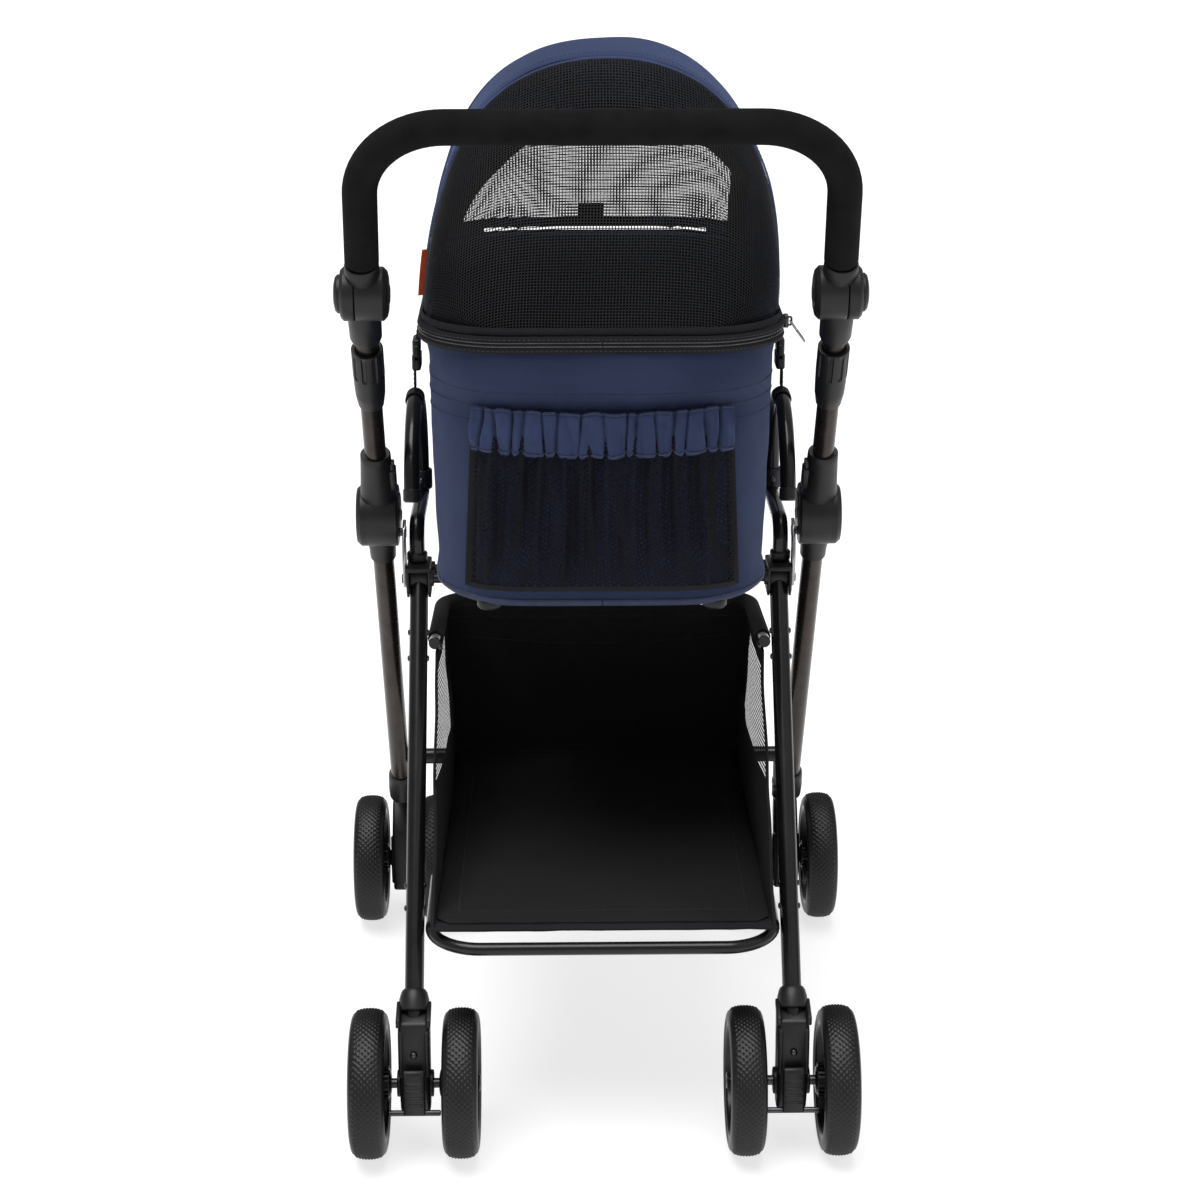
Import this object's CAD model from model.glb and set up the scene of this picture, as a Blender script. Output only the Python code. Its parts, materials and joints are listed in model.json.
import json
import math

import bmesh
import bpy
from mathutils import Matrix, Vector, noise


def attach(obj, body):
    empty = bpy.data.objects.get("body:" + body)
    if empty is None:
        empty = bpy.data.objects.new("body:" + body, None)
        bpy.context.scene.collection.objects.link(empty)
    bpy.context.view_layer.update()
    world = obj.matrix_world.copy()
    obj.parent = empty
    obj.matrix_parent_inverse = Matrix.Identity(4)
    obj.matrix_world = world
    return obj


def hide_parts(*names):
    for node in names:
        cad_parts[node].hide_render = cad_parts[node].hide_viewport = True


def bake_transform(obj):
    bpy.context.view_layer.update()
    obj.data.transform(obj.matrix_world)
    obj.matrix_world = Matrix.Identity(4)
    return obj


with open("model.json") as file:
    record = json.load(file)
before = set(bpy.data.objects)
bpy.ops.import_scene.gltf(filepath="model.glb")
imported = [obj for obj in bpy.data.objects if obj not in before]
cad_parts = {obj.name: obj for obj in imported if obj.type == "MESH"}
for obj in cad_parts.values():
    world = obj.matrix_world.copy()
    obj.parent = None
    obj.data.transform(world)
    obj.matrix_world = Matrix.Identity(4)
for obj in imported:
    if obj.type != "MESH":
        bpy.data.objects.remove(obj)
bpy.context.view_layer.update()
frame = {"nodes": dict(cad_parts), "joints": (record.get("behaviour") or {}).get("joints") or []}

SIDES = (("left", -1), ("right", 1))
X_AXIS = Vector((1, 0, 0))
Y_AXIS = Vector((0, 1, 0))
Z_AXIS = Vector((0, 0, 1))


# ---- what the frame says ----
def span(node, inverse=Matrix()):
    """The lowest and highest corner of a CAD node, in the row frame or the frame inverse leads into."""
    points = [inverse @ vertex.co for vertex in frame["nodes"][node].data.vertices]
    low = Vector([min(point[i] for point in points) for i in range(3)])
    high = Vector([max(point[i] for point in points) for i in range(3)])
    return low, high


def middle(node, inverse=Matrix()):
    low, high = span(node, inverse)
    return (low + high) / 2


JOINTS = {joint["name"]: joint for joint in frame["joints"]}


def pivot_of(joint):
    return Vector(JOINTS[joint]["pos_m"])


HUB = pivot_of("arm_fold")
PULL = Vector(JOINTS["release_pull_left"]["axis"])
LEAN = math.atan2(abs(PULL.y), abs(PULL.z))
ARM = Matrix.Translation(HUB) @ Matrix.Rotation(LEAN, 4, "X")
INTO_ARM = ARM.inverted()
SIDE_X = middle("front_leg_right").x
REAR_X = middle("rear_axle_right").x
LEG_RADIUS = (span("front_leg_right")[1].x - span("front_leg_right")[0].x) / 2


# ---- materials ----
def look(name, color, roughness, **sockets):
    material = bpy.data.materials.new(name)
    material.use_nodes = True
    shader = shader_of(material)
    shader.inputs["Base Color"].default_value = (*color, 1)
    shader.inputs["Roughness"].default_value = roughness
    for socket, value in sockets.items():
        shader.inputs[socket.replace("_", " ")].default_value = value
    return material


def shader_of(material):
    return material.node_tree.nodes["Principled BSDF"]


def plug(material, socket, value):
    """Sets an input, or links it if the value is another node's output."""
    if isinstance(value, bpy.types.NodeSocket):
        material.node_tree.links.new(value, socket)
    else:
        socket.default_value = value


def node(material, kind, settings=None, **inputs):
    made = material.node_tree.nodes.new("ShaderNode" + kind)
    for key, value in (settings or {}).items():
        setattr(made, key, value)
    for key, value in inputs.items():
        plug(material, made.inputs[key.replace("_", " ")], value)
    return made


def reckon(material, operation, *values):
    made = node(material, "Math", {"operation": operation})
    for socket, value in zip(made.inputs, values):
        plug(material, socket, value)
    return made.outputs[0]


def threads_of(material):
    """The cloth's own coordinates: metres across and metres along."""
    made = node(material, "SeparateXYZ", Vector=node(material, "TexCoord").outputs["UV"])
    return made.outputs["X"], made.outputs["Y"]


def noise_of(material, scale, detail, stretch=(1, 1, 1)):
    place = node(material, "TexCoord").outputs["Object"]
    place = node(material, "Mapping", Vector=place, Scale=stretch).outputs["Vector"]
    return node(material, "TexNoise", Vector=place, Scale=scale, Detail=detail).outputs["Fac"]


def vary(material, other, scale, stretch=(1, 1, 1)):
    """Drifts the base colour towards another over soft patches."""
    socket = shader_of(material).inputs["Base Color"]
    ramp = node(material, "ValToRGB", Fac=noise_of(material, scale, 4.0, stretch))
    ends = ((0.35, tuple(socket.default_value)), (0.65, (*other, 1)))
    for element, (position, color) in zip(ramp.color_ramp.elements, ends):
        element.position = position
        element.color = color
    plug(material, socket, ramp.outputs["Color"])


def wear(material, low, high, scale, stretch=(1, 1, 1)):
    """Roughness between two values, in streaks or patches."""
    patches = noise_of(material, scale, 5.0, stretch)
    spread = node(material, "MapRange", Value=patches, To_Min=low, To_Max=high)
    plug(material, shader_of(material).inputs["Roughness"], spread.outputs["Result"])


def bump(material, height, distance, strength=1.0):
    """Adds a relief on top of the reliefs that the material already has."""
    socket = shader_of(material).inputs["Normal"]
    made = node(material, "Bump", Height=height, Distance=distance, Strength=strength)
    if socket.links:
        plug(material, made.inputs["Normal"], socket.links[0].from_socket)
    plug(material, socket, made.outputs["Normal"])


def grain(material, scale, distance, strength=1.0):
    bump(material, noise_of(material, scale, 3.0), distance, strength)


def waves(material, value, pitch, operation="SINE"):
    """A sine of a coordinate in metres, from -1 to 1, one cycle to each pitch."""
    return reckon(material, operation, reckon(material, "MULTIPLY", value, 2 * math.pi / pitch))


def weave(material, pitch, depth, shade):
    """A plain weave: warp and weft cross over each other at each pitch."""
    across, along = threads_of(material)
    over = reckon(material, "MULTIPLY", waves(material, across, pitch), waves(material, along, pitch))
    bump(material, over, depth)
    darken(material, reckon(material, "MULTIPLY_ADD", over, shade / 2, shade / 2))


def darken(material, share):
    """Takes the base colour down towards black by a share that varies over the surface."""
    socket = shader_of(material).inputs["Base Color"]
    mix = node(material, "MixRGB", {"blend_type": "MIX"}, Fac=share, Color2=(0, 0, 0, 1))
    plug(material, mix.inputs["Color1"], socket.links[0].from_socket)
    plug(material, socket, mix.outputs["Color"])


def square_net(material, pitch, thread):
    """Threads both ways with open squares between them; thread is the share of the pitch that they cover."""
    covered = []
    for value in threads_of(material):
        place = reckon(material, "FRACT", reckon(material, "MULTIPLY", value, 1 / pitch))
        covered.append(reckon(material, "LESS_THAN", place, thread))
    plug(material, shader_of(material).inputs["Alpha"], reckon(material, "MAXIMUM", *covered))


def hexagon_net(material, pitch, limit):
    """Round holes in staggered rows, as in sports mesh; the limit goes from -1.5, all hole, to 3, no hole."""
    across, along = threads_of(material)
    total = 0.0
    for turn in (0, 60, 120):
        lean_x, lean_y = math.cos(math.radians(turn)), math.sin(math.radians(turn))
        shares = reckon(material, "MULTIPLY", across, lean_x), reckon(material, "MULTIPLY", along, lean_y)
        wave = waves(material, reckon(material, "ADD", *shares), pitch, "COSINE")
        total = reckon(material, "ADD", total, wave)
    plug(material, shader_of(material).inputs["Alpha"], reckon(material, "LESS_THAN", total, limit))


def hard_look(name, color, roughness, other, patches, worn, relief, **sockets):
    """Paint, plastic, rubber, thread or metal: patches of another colour, worn places and a fine grain."""
    material = look(name, color, roughness, **sockets)
    vary(material, other, *patches)
    if worn:
        wear(material, *worn)
    grain(material, *relief)
    return material


def foam_look():
    material = look("foam", (0.0045, 0.0045, 0.005), 0.94, Specular_IOR_Level=0.13)
    vary(material, (0.0070, 0.0070, 0.0075), 40)
    place = node(material, "TexCoord").outputs["Object"]
    cells = node(material, "TexVoronoi", Vector=place, Scale=900.0)
    bump(material, cells.outputs["Distance"], 0.00035, 0.6)
    grain(material, 160, 0.0006, 0.5)
    return material


def plastic_look(name, color, roughness):
    other = tuple(1.7 * c for c in color)
    worn = (roughness - 0.06, roughness + 0.1, 60)
    return hard_look(name, color, roughness, other, (22,), worn, (1100, 0.00007, 0.6), Specular_IOR_Level=0.32)


def cloth_look(name, color, other, pitch=0.0011, sheen=0.03):
    tint = (*[min(6 * c + 0.1, 1) for c in color], 1)
    material = look(
        name, color, 0.88, Specular_IOR_Level=0.3, Sheen_Weight=sheen, Sheen_Roughness=0.5, Sheen_Tint=tint
    )
    vary(material, other, 7)
    weave(material, pitch, 0.00016, 0.16)
    grain(material, 700, 0.0001, 0.4)
    return material


def net_look(name, color, pitch, thread):
    material = hard_look(
        name, color, 0.75, tuple(1.8 * c for c in color), (12,), None, (900, 0.0002, 0.5),
        Specular_IOR_Level=0.25,
    )
    square_net(material, pitch, thread)
    return material


def pocket_net_look():
    """Staggered round holes that close up in streaks, where the gathered net lies double."""
    material = hard_look(
        "pocket_net", (0.0035, 0.0035, 0.006), 0.75, (0.0055, 0.0055, 0.009), (12,), None, (900, 0.0002, 0.5),
        Specular_IOR_Level=0.12,
    )
    cloth = node(material, "TexCoord").outputs["UV"]
    place = node(material, "Mapping", Vector=cloth, Scale=(60, 5, 1)).outputs["Vector"]
    streaks = node(material, "TexNoise", Vector=place, Scale=1.0, Detail=1.0).outputs["Fac"]
    limit = node(material, "MapRange", Value=streaks, From_Min=0.50, From_Max=0.68, To_Min=0.0, To_Max=2.4)
    hexagon_net(material, 0.0042, limit.outputs["Result"])
    return material


NAVY = (0.028, 0.043, 0.108)
NAVY_DEEP = (0.019, 0.030, 0.080)
TUB_SHADE = 0.74
FOAM = foam_look()
DARK_TUBE = hard_look(
    "dark_tube", (0.040, 0.033, 0.029), 0.26, (0.054, 0.045, 0.040), (9, (8, 8, 1)),
    (0.20, 0.34, 30, (12, 12, 1)), (1400, 0.000006, 0.3), Metallic=0.85,
)
GLOSS_TUBE = hard_look(
    "gloss_tube", (0.0040, 0.0040, 0.0045), 0.2, (0.008, 0.008, 0.0088), (14,), (0.16, 0.3, 45),
    (320, 0.00006, 0.35), Specular_IOR_Level=0.28, Coat_Weight=0.1, Coat_Roughness=0.08,
)
PLASTIC = plastic_look("black_plastic", (0.0065, 0.0065, 0.007), 0.4)
RIM_PLASTIC = plastic_look("rim_plastic", (0.006, 0.006, 0.0065), 0.27)
TYRE = hard_look(
    "tyre", (0.0035, 0.0035, 0.004), 0.42, (0.0065, 0.0062, 0.006), (18,), (0.32, 0.5, 35),
    (900, 0.00012, 0.7), Specular_IOR_Level=0.34,
)
STEEL = hard_look(
    "steel", (0.42, 0.42, 0.44), 0.26, (0.30, 0.30, 0.32), (60,), (0.2, 0.42, 120), (1800, 0.00002, 0.5),
    Metallic=1.0,
)
DARK_STEEL = hard_look(
    "dark_steel", (0.09, 0.09, 0.095), 0.3, (0.05, 0.05, 0.055), (70,), (0.22, 0.4, 90), (1500, 0.00003, 0.5),
    Metallic=1.0,
)
NAVY_CLOTH = cloth_look("navy_cloth", NAVY, NAVY_DEEP, sheen=0.25)
TUB_CLOTH = cloth_look(
    "tub_cloth", tuple(TUB_SHADE * c for c in NAVY), tuple(TUB_SHADE * c for c in NAVY_DEEP), sheen=0.25
)
BLACK_CLOTH = cloth_look("black_cloth", (0.0055, 0.0055, 0.006), (0.009, 0.009, 0.010))
WEBBING = cloth_look("webbing", (0.008, 0.008, 0.009), (0.013, 0.013, 0.014), pitch=0.0024)
BINDING = cloth_look("binding", (0.006, 0.006, 0.0075), (0.010, 0.010, 0.013), pitch=0.0014)
TAB = cloth_look("tab_cloth", (0.55, 0.075, 0.012), (0.45, 0.05, 0.01), sheen=0.2)
THREAD_GRAIN = (1500, 0.0002)
NAVY_THREAD = hard_look("navy_thread", (0.012, 0.018, 0.05), 0.7, (0.018, 0.026, 0.07), (80,), None, THREAD_GRAIN)
BLACK_THREAD = hard_look("black_thread", (0.016, 0.016, 0.018), 0.6, (0.03, 0.03, 0.033), (80,), None, THREAD_GRAIN)
COIL = hard_look("zip_coil", (0.035, 0.035, 0.038), 0.35, (0.06, 0.06, 0.065), (120,), None, (900, 0.0003))
HOOD_NET = net_look("hood_net", (0.004, 0.004, 0.0045), 0.0030, 0.34)
WINDOW_NET = net_look("window_net", (0.004, 0.004, 0.0045), 0.0017, 0.36)
BASKET_NET = net_look("basket_net", (0.006, 0.006, 0.007), 0.0042, 0.5)
POCKET_NET = pocket_net_look()


# ---- meshes ----
def soft_noise(point, scale, seed=0.0):
    return noise.noise(Vector(point) * scale + Vector((seed, 2 * seed, 3 * seed)))


def clamp(value, low, high):
    return min(max(value, low), high)


def distances(points):
    total = [0.0]
    for before, after in zip(points, points[1:]):
        total.append(total[-1] + (after - before).length)
    return total


def add_object(name, data):
    obj = bpy.data.objects.new(name, data)
    bpy.context.scene.collection.objects.link(obj)
    return obj


def from_bmesh(name, mesh):
    data = bpy.data.meshes.new(name)
    mesh.to_mesh(data)
    mesh.free()
    return add_object(name, data)


def smooth(obj, crease):
    obj.data.shade_smooth()
    obj.data.set_sharp_from_angle(angle=math.radians(crease))
    return obj


def finish_mesh(obj, material, crease=38):
    """Welded, with normals out, and smooth but for its sharp edges."""
    mesh = bmesh.new()
    mesh.from_mesh(obj.data)
    bmesh.ops.remove_doubles(mesh, verts=mesh.verts, dist=1e-6)
    bmesh.ops.dissolve_degenerate(mesh, edges=mesh.edges, dist=1e-7)
    bmesh.ops.recalc_face_normals(mesh, faces=mesh.faces)
    mesh.to_mesh(obj.data)
    mesh.free()
    obj.data.materials.clear()
    obj.data.materials.append(material)
    return smooth(obj, crease)


def surface(name, rows, material, capped=False, crease=38):
    """A sheet over rows of points. A row that ends where it starts closes into a ring."""
    width = len(rows[0])
    across = [distances(row) for row in rows]
    along = distances([row[width // 2] for row in rows])
    mesh = bmesh.new()
    threads = mesh.loops.layers.uv.new("UVMap")
    made = [[mesh.verts.new(point) for point in row] for row in rows]
    for i in range(len(rows) - 1):
        for k in range(width - 1):
            corners = ((i, k), (i, k + 1), (i + 1, k + 1), (i + 1, k))
            face = mesh.faces.new([made[a][b] for a, b in corners])
            for loop, (a, b) in zip(face.loops, corners):
                loop[threads].uv = (across[a][b] - across[a][width // 2], along[a])
    if capped:
        mesh.faces.new(made[0][:-1])
        mesh.faces.new(made[-1][:-1])
    return finish_mesh(from_bmesh(name, mesh), material, crease)


def merge(name, parts):
    """One object out of several."""
    first = parts[0]
    with bpy.context.temp_override(
        active_object=first, object=first, selected_objects=parts, selected_editable_objects=parts
    ):
        bpy.ops.object.join()
    first.name = name
    return first


def bake(obj):
    """Applies the modifiers to the mesh."""
    graph = bpy.context.evaluated_depsgraph_get()
    data = bpy.data.meshes.new_from_object(obj.evaluated_get(graph))
    obj.modifiers.clear()
    obj.data = data


def solidify(obj, thickness, offset=-1.0):
    modifier = obj.modifiers.new("thickness", "SOLIDIFY")
    modifier.thickness = thickness
    modifier.offset = offset
    bake(obj)
    smooth(obj, 50)


def fit(obj, body, slot, *nodes):
    """The piece rides on its body, takes its finish from the slot, and stands for the CAD nodes."""
    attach(obj, body)
    if nodes:
        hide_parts(*nodes)


def rounded(corners, radius, steps=8):
    """The route with each inner corner turned into an arc, or a shorter one where there is no room for it."""
    corners = [Vector(corner) for corner in corners]
    route = [corners[0]]
    for before, here, after in zip(corners, corners[1:], corners[2:]):
        back, ahead = before - here, after - here
        half = back.angle(ahead) / 2
        setback = min(radius / math.tan(half), 0.48 * back.length, 0.48 * ahead.length)
        start = here + back.normalized() * setback
        end = here + ahead.normalized() * setback
        for k in range(steps + 1):
            t = k / steps
            shares = ((1 - t) ** 2, 2 * math.sin(half) * t * (1 - t), t * t)
            route.append((start * shares[0] + here * shares[1] + end * shares[2]) / sum(shares))
    route.append(corners[-1])
    return route


def turned(name, profile, material, place=Matrix(), segments=48, relief=None, crease=38):
    """A turned piece about place's Z axis, from (radius, distance) pairs; relief may change a radius."""
    rows = []
    for i, (radius, along) in enumerate(profile):
        row = []
        for k in range(segments + 1):
            angle = 2 * math.pi * (k % segments) / segments
            here = relief(i, k % segments, radius) if relief else radius
            row.append(place @ Vector((here * math.cos(angle), here * math.sin(angle), along)))
        rows.append(row)
    return surface(name, rows, material, crease=crease)


def along_x(centre):
    """The place of a turned piece whose axis runs along X through a point."""
    return Matrix.Translation(centre) @ Matrix.Rotation(math.pi / 2, 4, "Y")


def disc(name, radius, start, end, edge, material, place, segments):
    """A turned disc with rounded edges."""
    edge = min(edge, abs(end - start) / 2.1)
    corners = [(0, start), (radius, start), (radius, end), (0, end)]
    return turned(name, rounded(corners, edge, 4), material, place, segments)


def moulded(name, outline, side, place, segments=64):
    """A turned plastic piece whose outline is given for the right-hand side."""
    profile = rounded([(radius, side * along) for radius, along in outline], 0.0012, 3)
    return turned(name, profile, PLASTIC, place, segments)


def tube(name, route, radius, material, segments=24, edge=0.0008):
    """A round bar along a route. The radius may be a function of the share of the way along."""
    route = [Vector(point) for point in route]
    total = distances(route)
    normal = None
    rows = []
    for i, point in enumerate(route):
        tangent = (route[min(i + 1, len(route) - 1)] - route[max(i - 1, 0)]).normalized()
        if normal is None:
            normal = X_AXIS if abs(tangent.x) < 0.9 else Z_AXIS
        normal = (normal - tangent * normal.dot(tangent)).normalized()
        side = tangent.cross(normal)
        here = radius(total[i] / total[-1]) if callable(radius) else radius
        rings = [(here, 0)]
        if i == 0:
            rings = [(here - edge, 0), (here, edge)]
        if i == len(route) - 1:
            rings = [(here, -edge), (here - edge, 0)]
        for across, shift in rings:
            turns = [2 * math.pi * (k % segments) / segments for k in range(segments + 1)]
            centre = point + tangent * shift
            rows.append([centre + normal * across * math.cos(t) + side * across * math.sin(t) for t in turns])
    return surface(name, rows, material, capped=True)


def crossbar(name, node_name, material, segments):
    """A straight bar along X in place of a CAD rod."""
    low, high = span(node_name)
    centre = (low + high) / 2
    ends = [(low.x, centre.y, centre.z), (high.x, centre.y, centre.z)]
    return tube(name, ends, (high.z - low.z) / 2, material, segments)


AXIS_ORDER = {"X": (1, 2, 0), "Z": (0, 1, 2)}


def prism(name, outline, start, end, axis, material, bevel, steps=3, place=Matrix()):
    """An outline pushed along an axis, with its edges rounded."""
    rows = []
    for level in (start, end):
        row = []
        for point in [*outline, outline[0]]:
            corner = Vector((0, 0, 0))
            for value, index in zip((*point, level), AXIS_ORDER[axis]):
                corner[index] = value
            row.append(place @ corner)
        rows.append(row)
    obj = surface(name, rows, material, capped=True)
    modifier = obj.modifiers.new("edges", "BEVEL")
    modifier.width = bevel
    modifier.segments = steps
    modifier.limit_method = "ANGLE"
    modifier.angle_limit = math.radians(25)
    modifier.harden_normals = True
    bake(obj)
    return smooth(obj, 38)


def slab(name, outline, x, half, bevel, steps=3):
    """A plastic plate with its outline in Y and Z, centred across on x."""
    return prism(name, outline, x - half, x + half, "X", PLASTIC, bevel, steps)


def block(name, low, high, material, bevel, place=Matrix()):
    outline = [(low[0], low[1]), (high[0], low[1]), (high[0], high[1]), (low[0], high[1])]
    return prism(name, outline, low[2], high[2], "Z", material, bevel, place=place)


def strip(name, left, right, normals, thickness, material):
    """A flat band between two edges, as thick as webbing or a binding, with rounded long edges."""
    rows = []
    for a, b, normal in zip(left, right, normals):
        lift = normal * thickness
        side = (b - a) * 0.06
        rows.append([a, a + lift * 0.75, a + side + lift, b - side + lift, b + lift * 0.75, b, a])
    return surface(name, [list(column) for column in zip(*rows)], material)


def stitches(name, route, normals, material, length=0.0026, gap=0.0016, radius=0.00035):
    """A row of short raised threads along a route."""
    total = distances(route)
    parts = bmesh.new()
    start = gap
    i = 0
    while start + length < total[-1]:
        while total[i + 1] < start + length / 2:
            i += 1
        share = (start + length / 2 - total[i]) / max(total[i + 1] - total[i], 1e-9)
        centre = route[i].lerp(route[i + 1], share)
        tangent = (route[i + 1] - route[i]).normalized()
        normal = (normals[i] - tangent * normals[i].dot(tangent)).normalized()
        basis = Matrix((tangent, tangent.cross(normal), normal)).transposed().to_4x4()
        size = Matrix.Diagonal((length / 2, radius * 1.5, radius, 1))
        place = Matrix.Translation(centre) @ basis @ size
        bmesh.ops.create_icosphere(parts, subdivisions=1, radius=1.0, matrix=place)
        start += length + gap
    return finish_mesh(from_bmesh(name, parts), material, 80)


def rivet(point, direction, radius):
    """A low domed head."""
    place = Matrix.Translation(point) @ direction.to_track_quat("Z", "Y").to_matrix().to_4x4()
    height = radius * 0.55
    profile = [(0, -height), (radius, -height), (radius, 0), (radius * 0.86, height * 0.6)]
    return turned("rivet", [*profile, (radius * 0.5, height), (0, height)], DARK_STEEL, place, 20)


# ---- camera, light and floor ----
def stage():
    camera = add_object("camera", bpy.data.cameras.new("camera"))
    camera.location = (-0.043, -2.628, 1.376)
    camera.rotation_euler = (math.radians(90 - 18.6), 0, -math.radians(0.96))
    camera.data.lens = 79.2
    camera.data.sensor_width = 36
    bpy.context.scene.camera = camera
    suns = (("key_sun", (-0.16, -0.20, 1.0), 45, 3.0), ("fill_sun", (0.8, -0.5, 0.9), 60, 0.3))
    for name, towards, angle, power in suns:
        lamp = add_object(name, bpy.data.lights.new(name, "SUN"))
        lamp.data.angle = math.radians(angle)
        lamp.data.energy = power
        lamp.rotation_euler = (-Vector(towards)).to_track_quat("-Z", "Y").to_euler()
    world = bpy.data.worlds.new("studio")
    world.use_nodes = True
    world.node_tree.nodes["Background"].inputs["Color"].default_value = (1, 1, 1, 1)
    world.node_tree.nodes["Background"].inputs["Strength"].default_value = 0.37
    bpy.context.scene.world = world
    bpy.context.scene.view_settings.view_transform = "Standard"
    paper = look("floor_paper", (0.4, 0.4, 0.4), 0.9, Emission_Color=(1, 1, 1, 1), Emission_Strength=0.72)
    vary(paper, (0.39, 0.39, 0.39), 2)
    grain(paper, 60, 0.0002, 0.3)
    reach = 40
    rows = [[Vector((x, y, 0)) for x in (-reach, reach)] for y in (-reach, reach)]
    surface("floor", rows, paper)


# ---- legs, hubs, arms and tilt joints, all in the arm frame ----
HUB_CENTRE = along_x(HUB)
GRIP_X = 0.227


def leg_bar(node_name, body, side):
    """A straight round tube of the front legs or the arms."""
    low, high = span(node_name, INTO_ARM)
    ends = [ARM @ Vector((side * SIDE_X, 0, station)) for station in (low.z, high.z)]
    fit(tube(node_name + "_bar", ends, LEG_RADIUS, DARK_TUBE, 36), body, "dark_tube", node_name)


def loft(x, sections, segments=48):
    """A plastic sleeve of ovals stacked along the arm: (station, half across, half deep) each."""
    rows = []
    for station, across, deep in sections:
        turns = [2 * math.pi * (k % segments) / segments for k in range(segments + 1)]
        rows.append([ARM @ Vector((x + across * math.cos(t), deep * math.sin(t), station)) for t in turns])
    return surface("sleeve", rows, PLASTIC, capped=True)


def hub_inner(word, side):
    node_name = f"fold_hub_inner_{word}"
    low, high = span(node_name, INTO_ARM)
    near, far = sorted((abs(low.x), abs(high.x)))
    parts = []
    for radius, stand_out, edge, material, segments in (
        (high.z, 0.0, 0.0022, PLASTIC, 64), (high.z * 0.72, 0.0016, 0.001, PLASTIC, 64),
        (0.0062, 0.0034, 0.001, DARK_STEEL, 6),
    ):
        start = side * (near - stand_out)
        parts.append(disc("disc", radius, start, side * far, edge, material, HUB_CENTRE, segments))
    foot = low.z
    parts.append(loft(side * SIDE_X, [
        (foot, 0.0127, 0.0127), (foot + 0.001, 0.0137, 0.0137), (foot + 0.014, 0.0141, 0.0141),
        (foot + 0.030, 0.0165, 0.0155), (-0.012, 0.0185, 0.0175),
    ]))
    fit(merge(f"hub_fixed_{word}", parts), "frame", "black_plastic", node_name)


def hub_outer(word, side):
    """The hub's turning half: a dished disc, the arm's socket and the latch that the collar lifts."""
    node_name = f"fold_hub_outer_{word}"
    low, high = span(node_name, INTO_ARM)
    near, far = SIDE_X + 0.0034, max(abs(low.x), abs(high.x))
    radius = -low.z
    face = moulded("disc", [
        (0, near), (radius, near), (radius, far - 0.0050), (radius - 0.004, far - 0.0006),
        (radius * 0.62, far - 0.0002), (radius * 0.60, far - 0.0013), (radius * 0.57, far - 0.0013),
        (radius * 0.55, far - 0.0001), (0, far),
    ], side, HUB_CENTRE)
    x, top = side * SIDE_X, high.z
    socket = loft(x, [
        (0.004, 0.0185, 0.0165), (0.030, 0.0188, 0.0160), (0.055, 0.0172, 0.0148),
        (top - 0.010, 0.0158, 0.0140), (top - 0.0015, 0.0155, 0.0138), (top, 0.0145, 0.0128),
    ])
    place = ARM @ Matrix.Translation((x - side * 0.0165, -0.003, 0.062))
    latch = block("latch", (-0.0035, -0.006, -0.017), (0.0035, 0.006, 0.011), PLASTIC, 0.0015, place)
    step = block("step", (-0.0022, -0.0045, 0.010), (0.0022, 0.0045, 0.020), PLASTIC, 0.001, place)
    fit(merge(f"hub_moving_{word}", [face, socket, latch, step]), "handle_arms", "black_plastic", node_name)


def release_collar(word, side):
    """A grip sleeve with slots round its upper half and a tapered foot."""
    node_name = f"release_collar_{word}"
    low, high = span(node_name, INTO_ARM)
    foot, top = low.z, high.z
    bore, outside = LEG_RADIUS + 0.0005, 0.0158
    profile = rounded([
        (bore, foot), (0.0127, foot), (0.0148, foot + 0.015), (0.0154, foot + 0.030), (0.0156, foot + 0.040),
        (outside, foot + 0.0415), (outside, top - 0.008), (outside, top - 0.0065), (outside, top), (bore, top),
        (bore, foot),
    ], 0.0007, 2)
    slots, steps = 9, 10

    def relief(i, k, radius):
        slotted = foot + 0.0405 < profile[i][1] < top - 0.0060 and radius > 0.0150
        return radius - (0.0016 if slotted and 3 <= k % steps <= 6 else 0)

    place = ARM @ Matrix.Translation((side * SIDE_X, 0, 0))
    piece = turned(f"collar_{word}", profile, PLASTIC, place, slots * steps, relief, 25)
    fit(piece, f"release_collar_{word}", "black_plastic", node_name)


BUTTON_CLEAR = 0.0196


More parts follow.
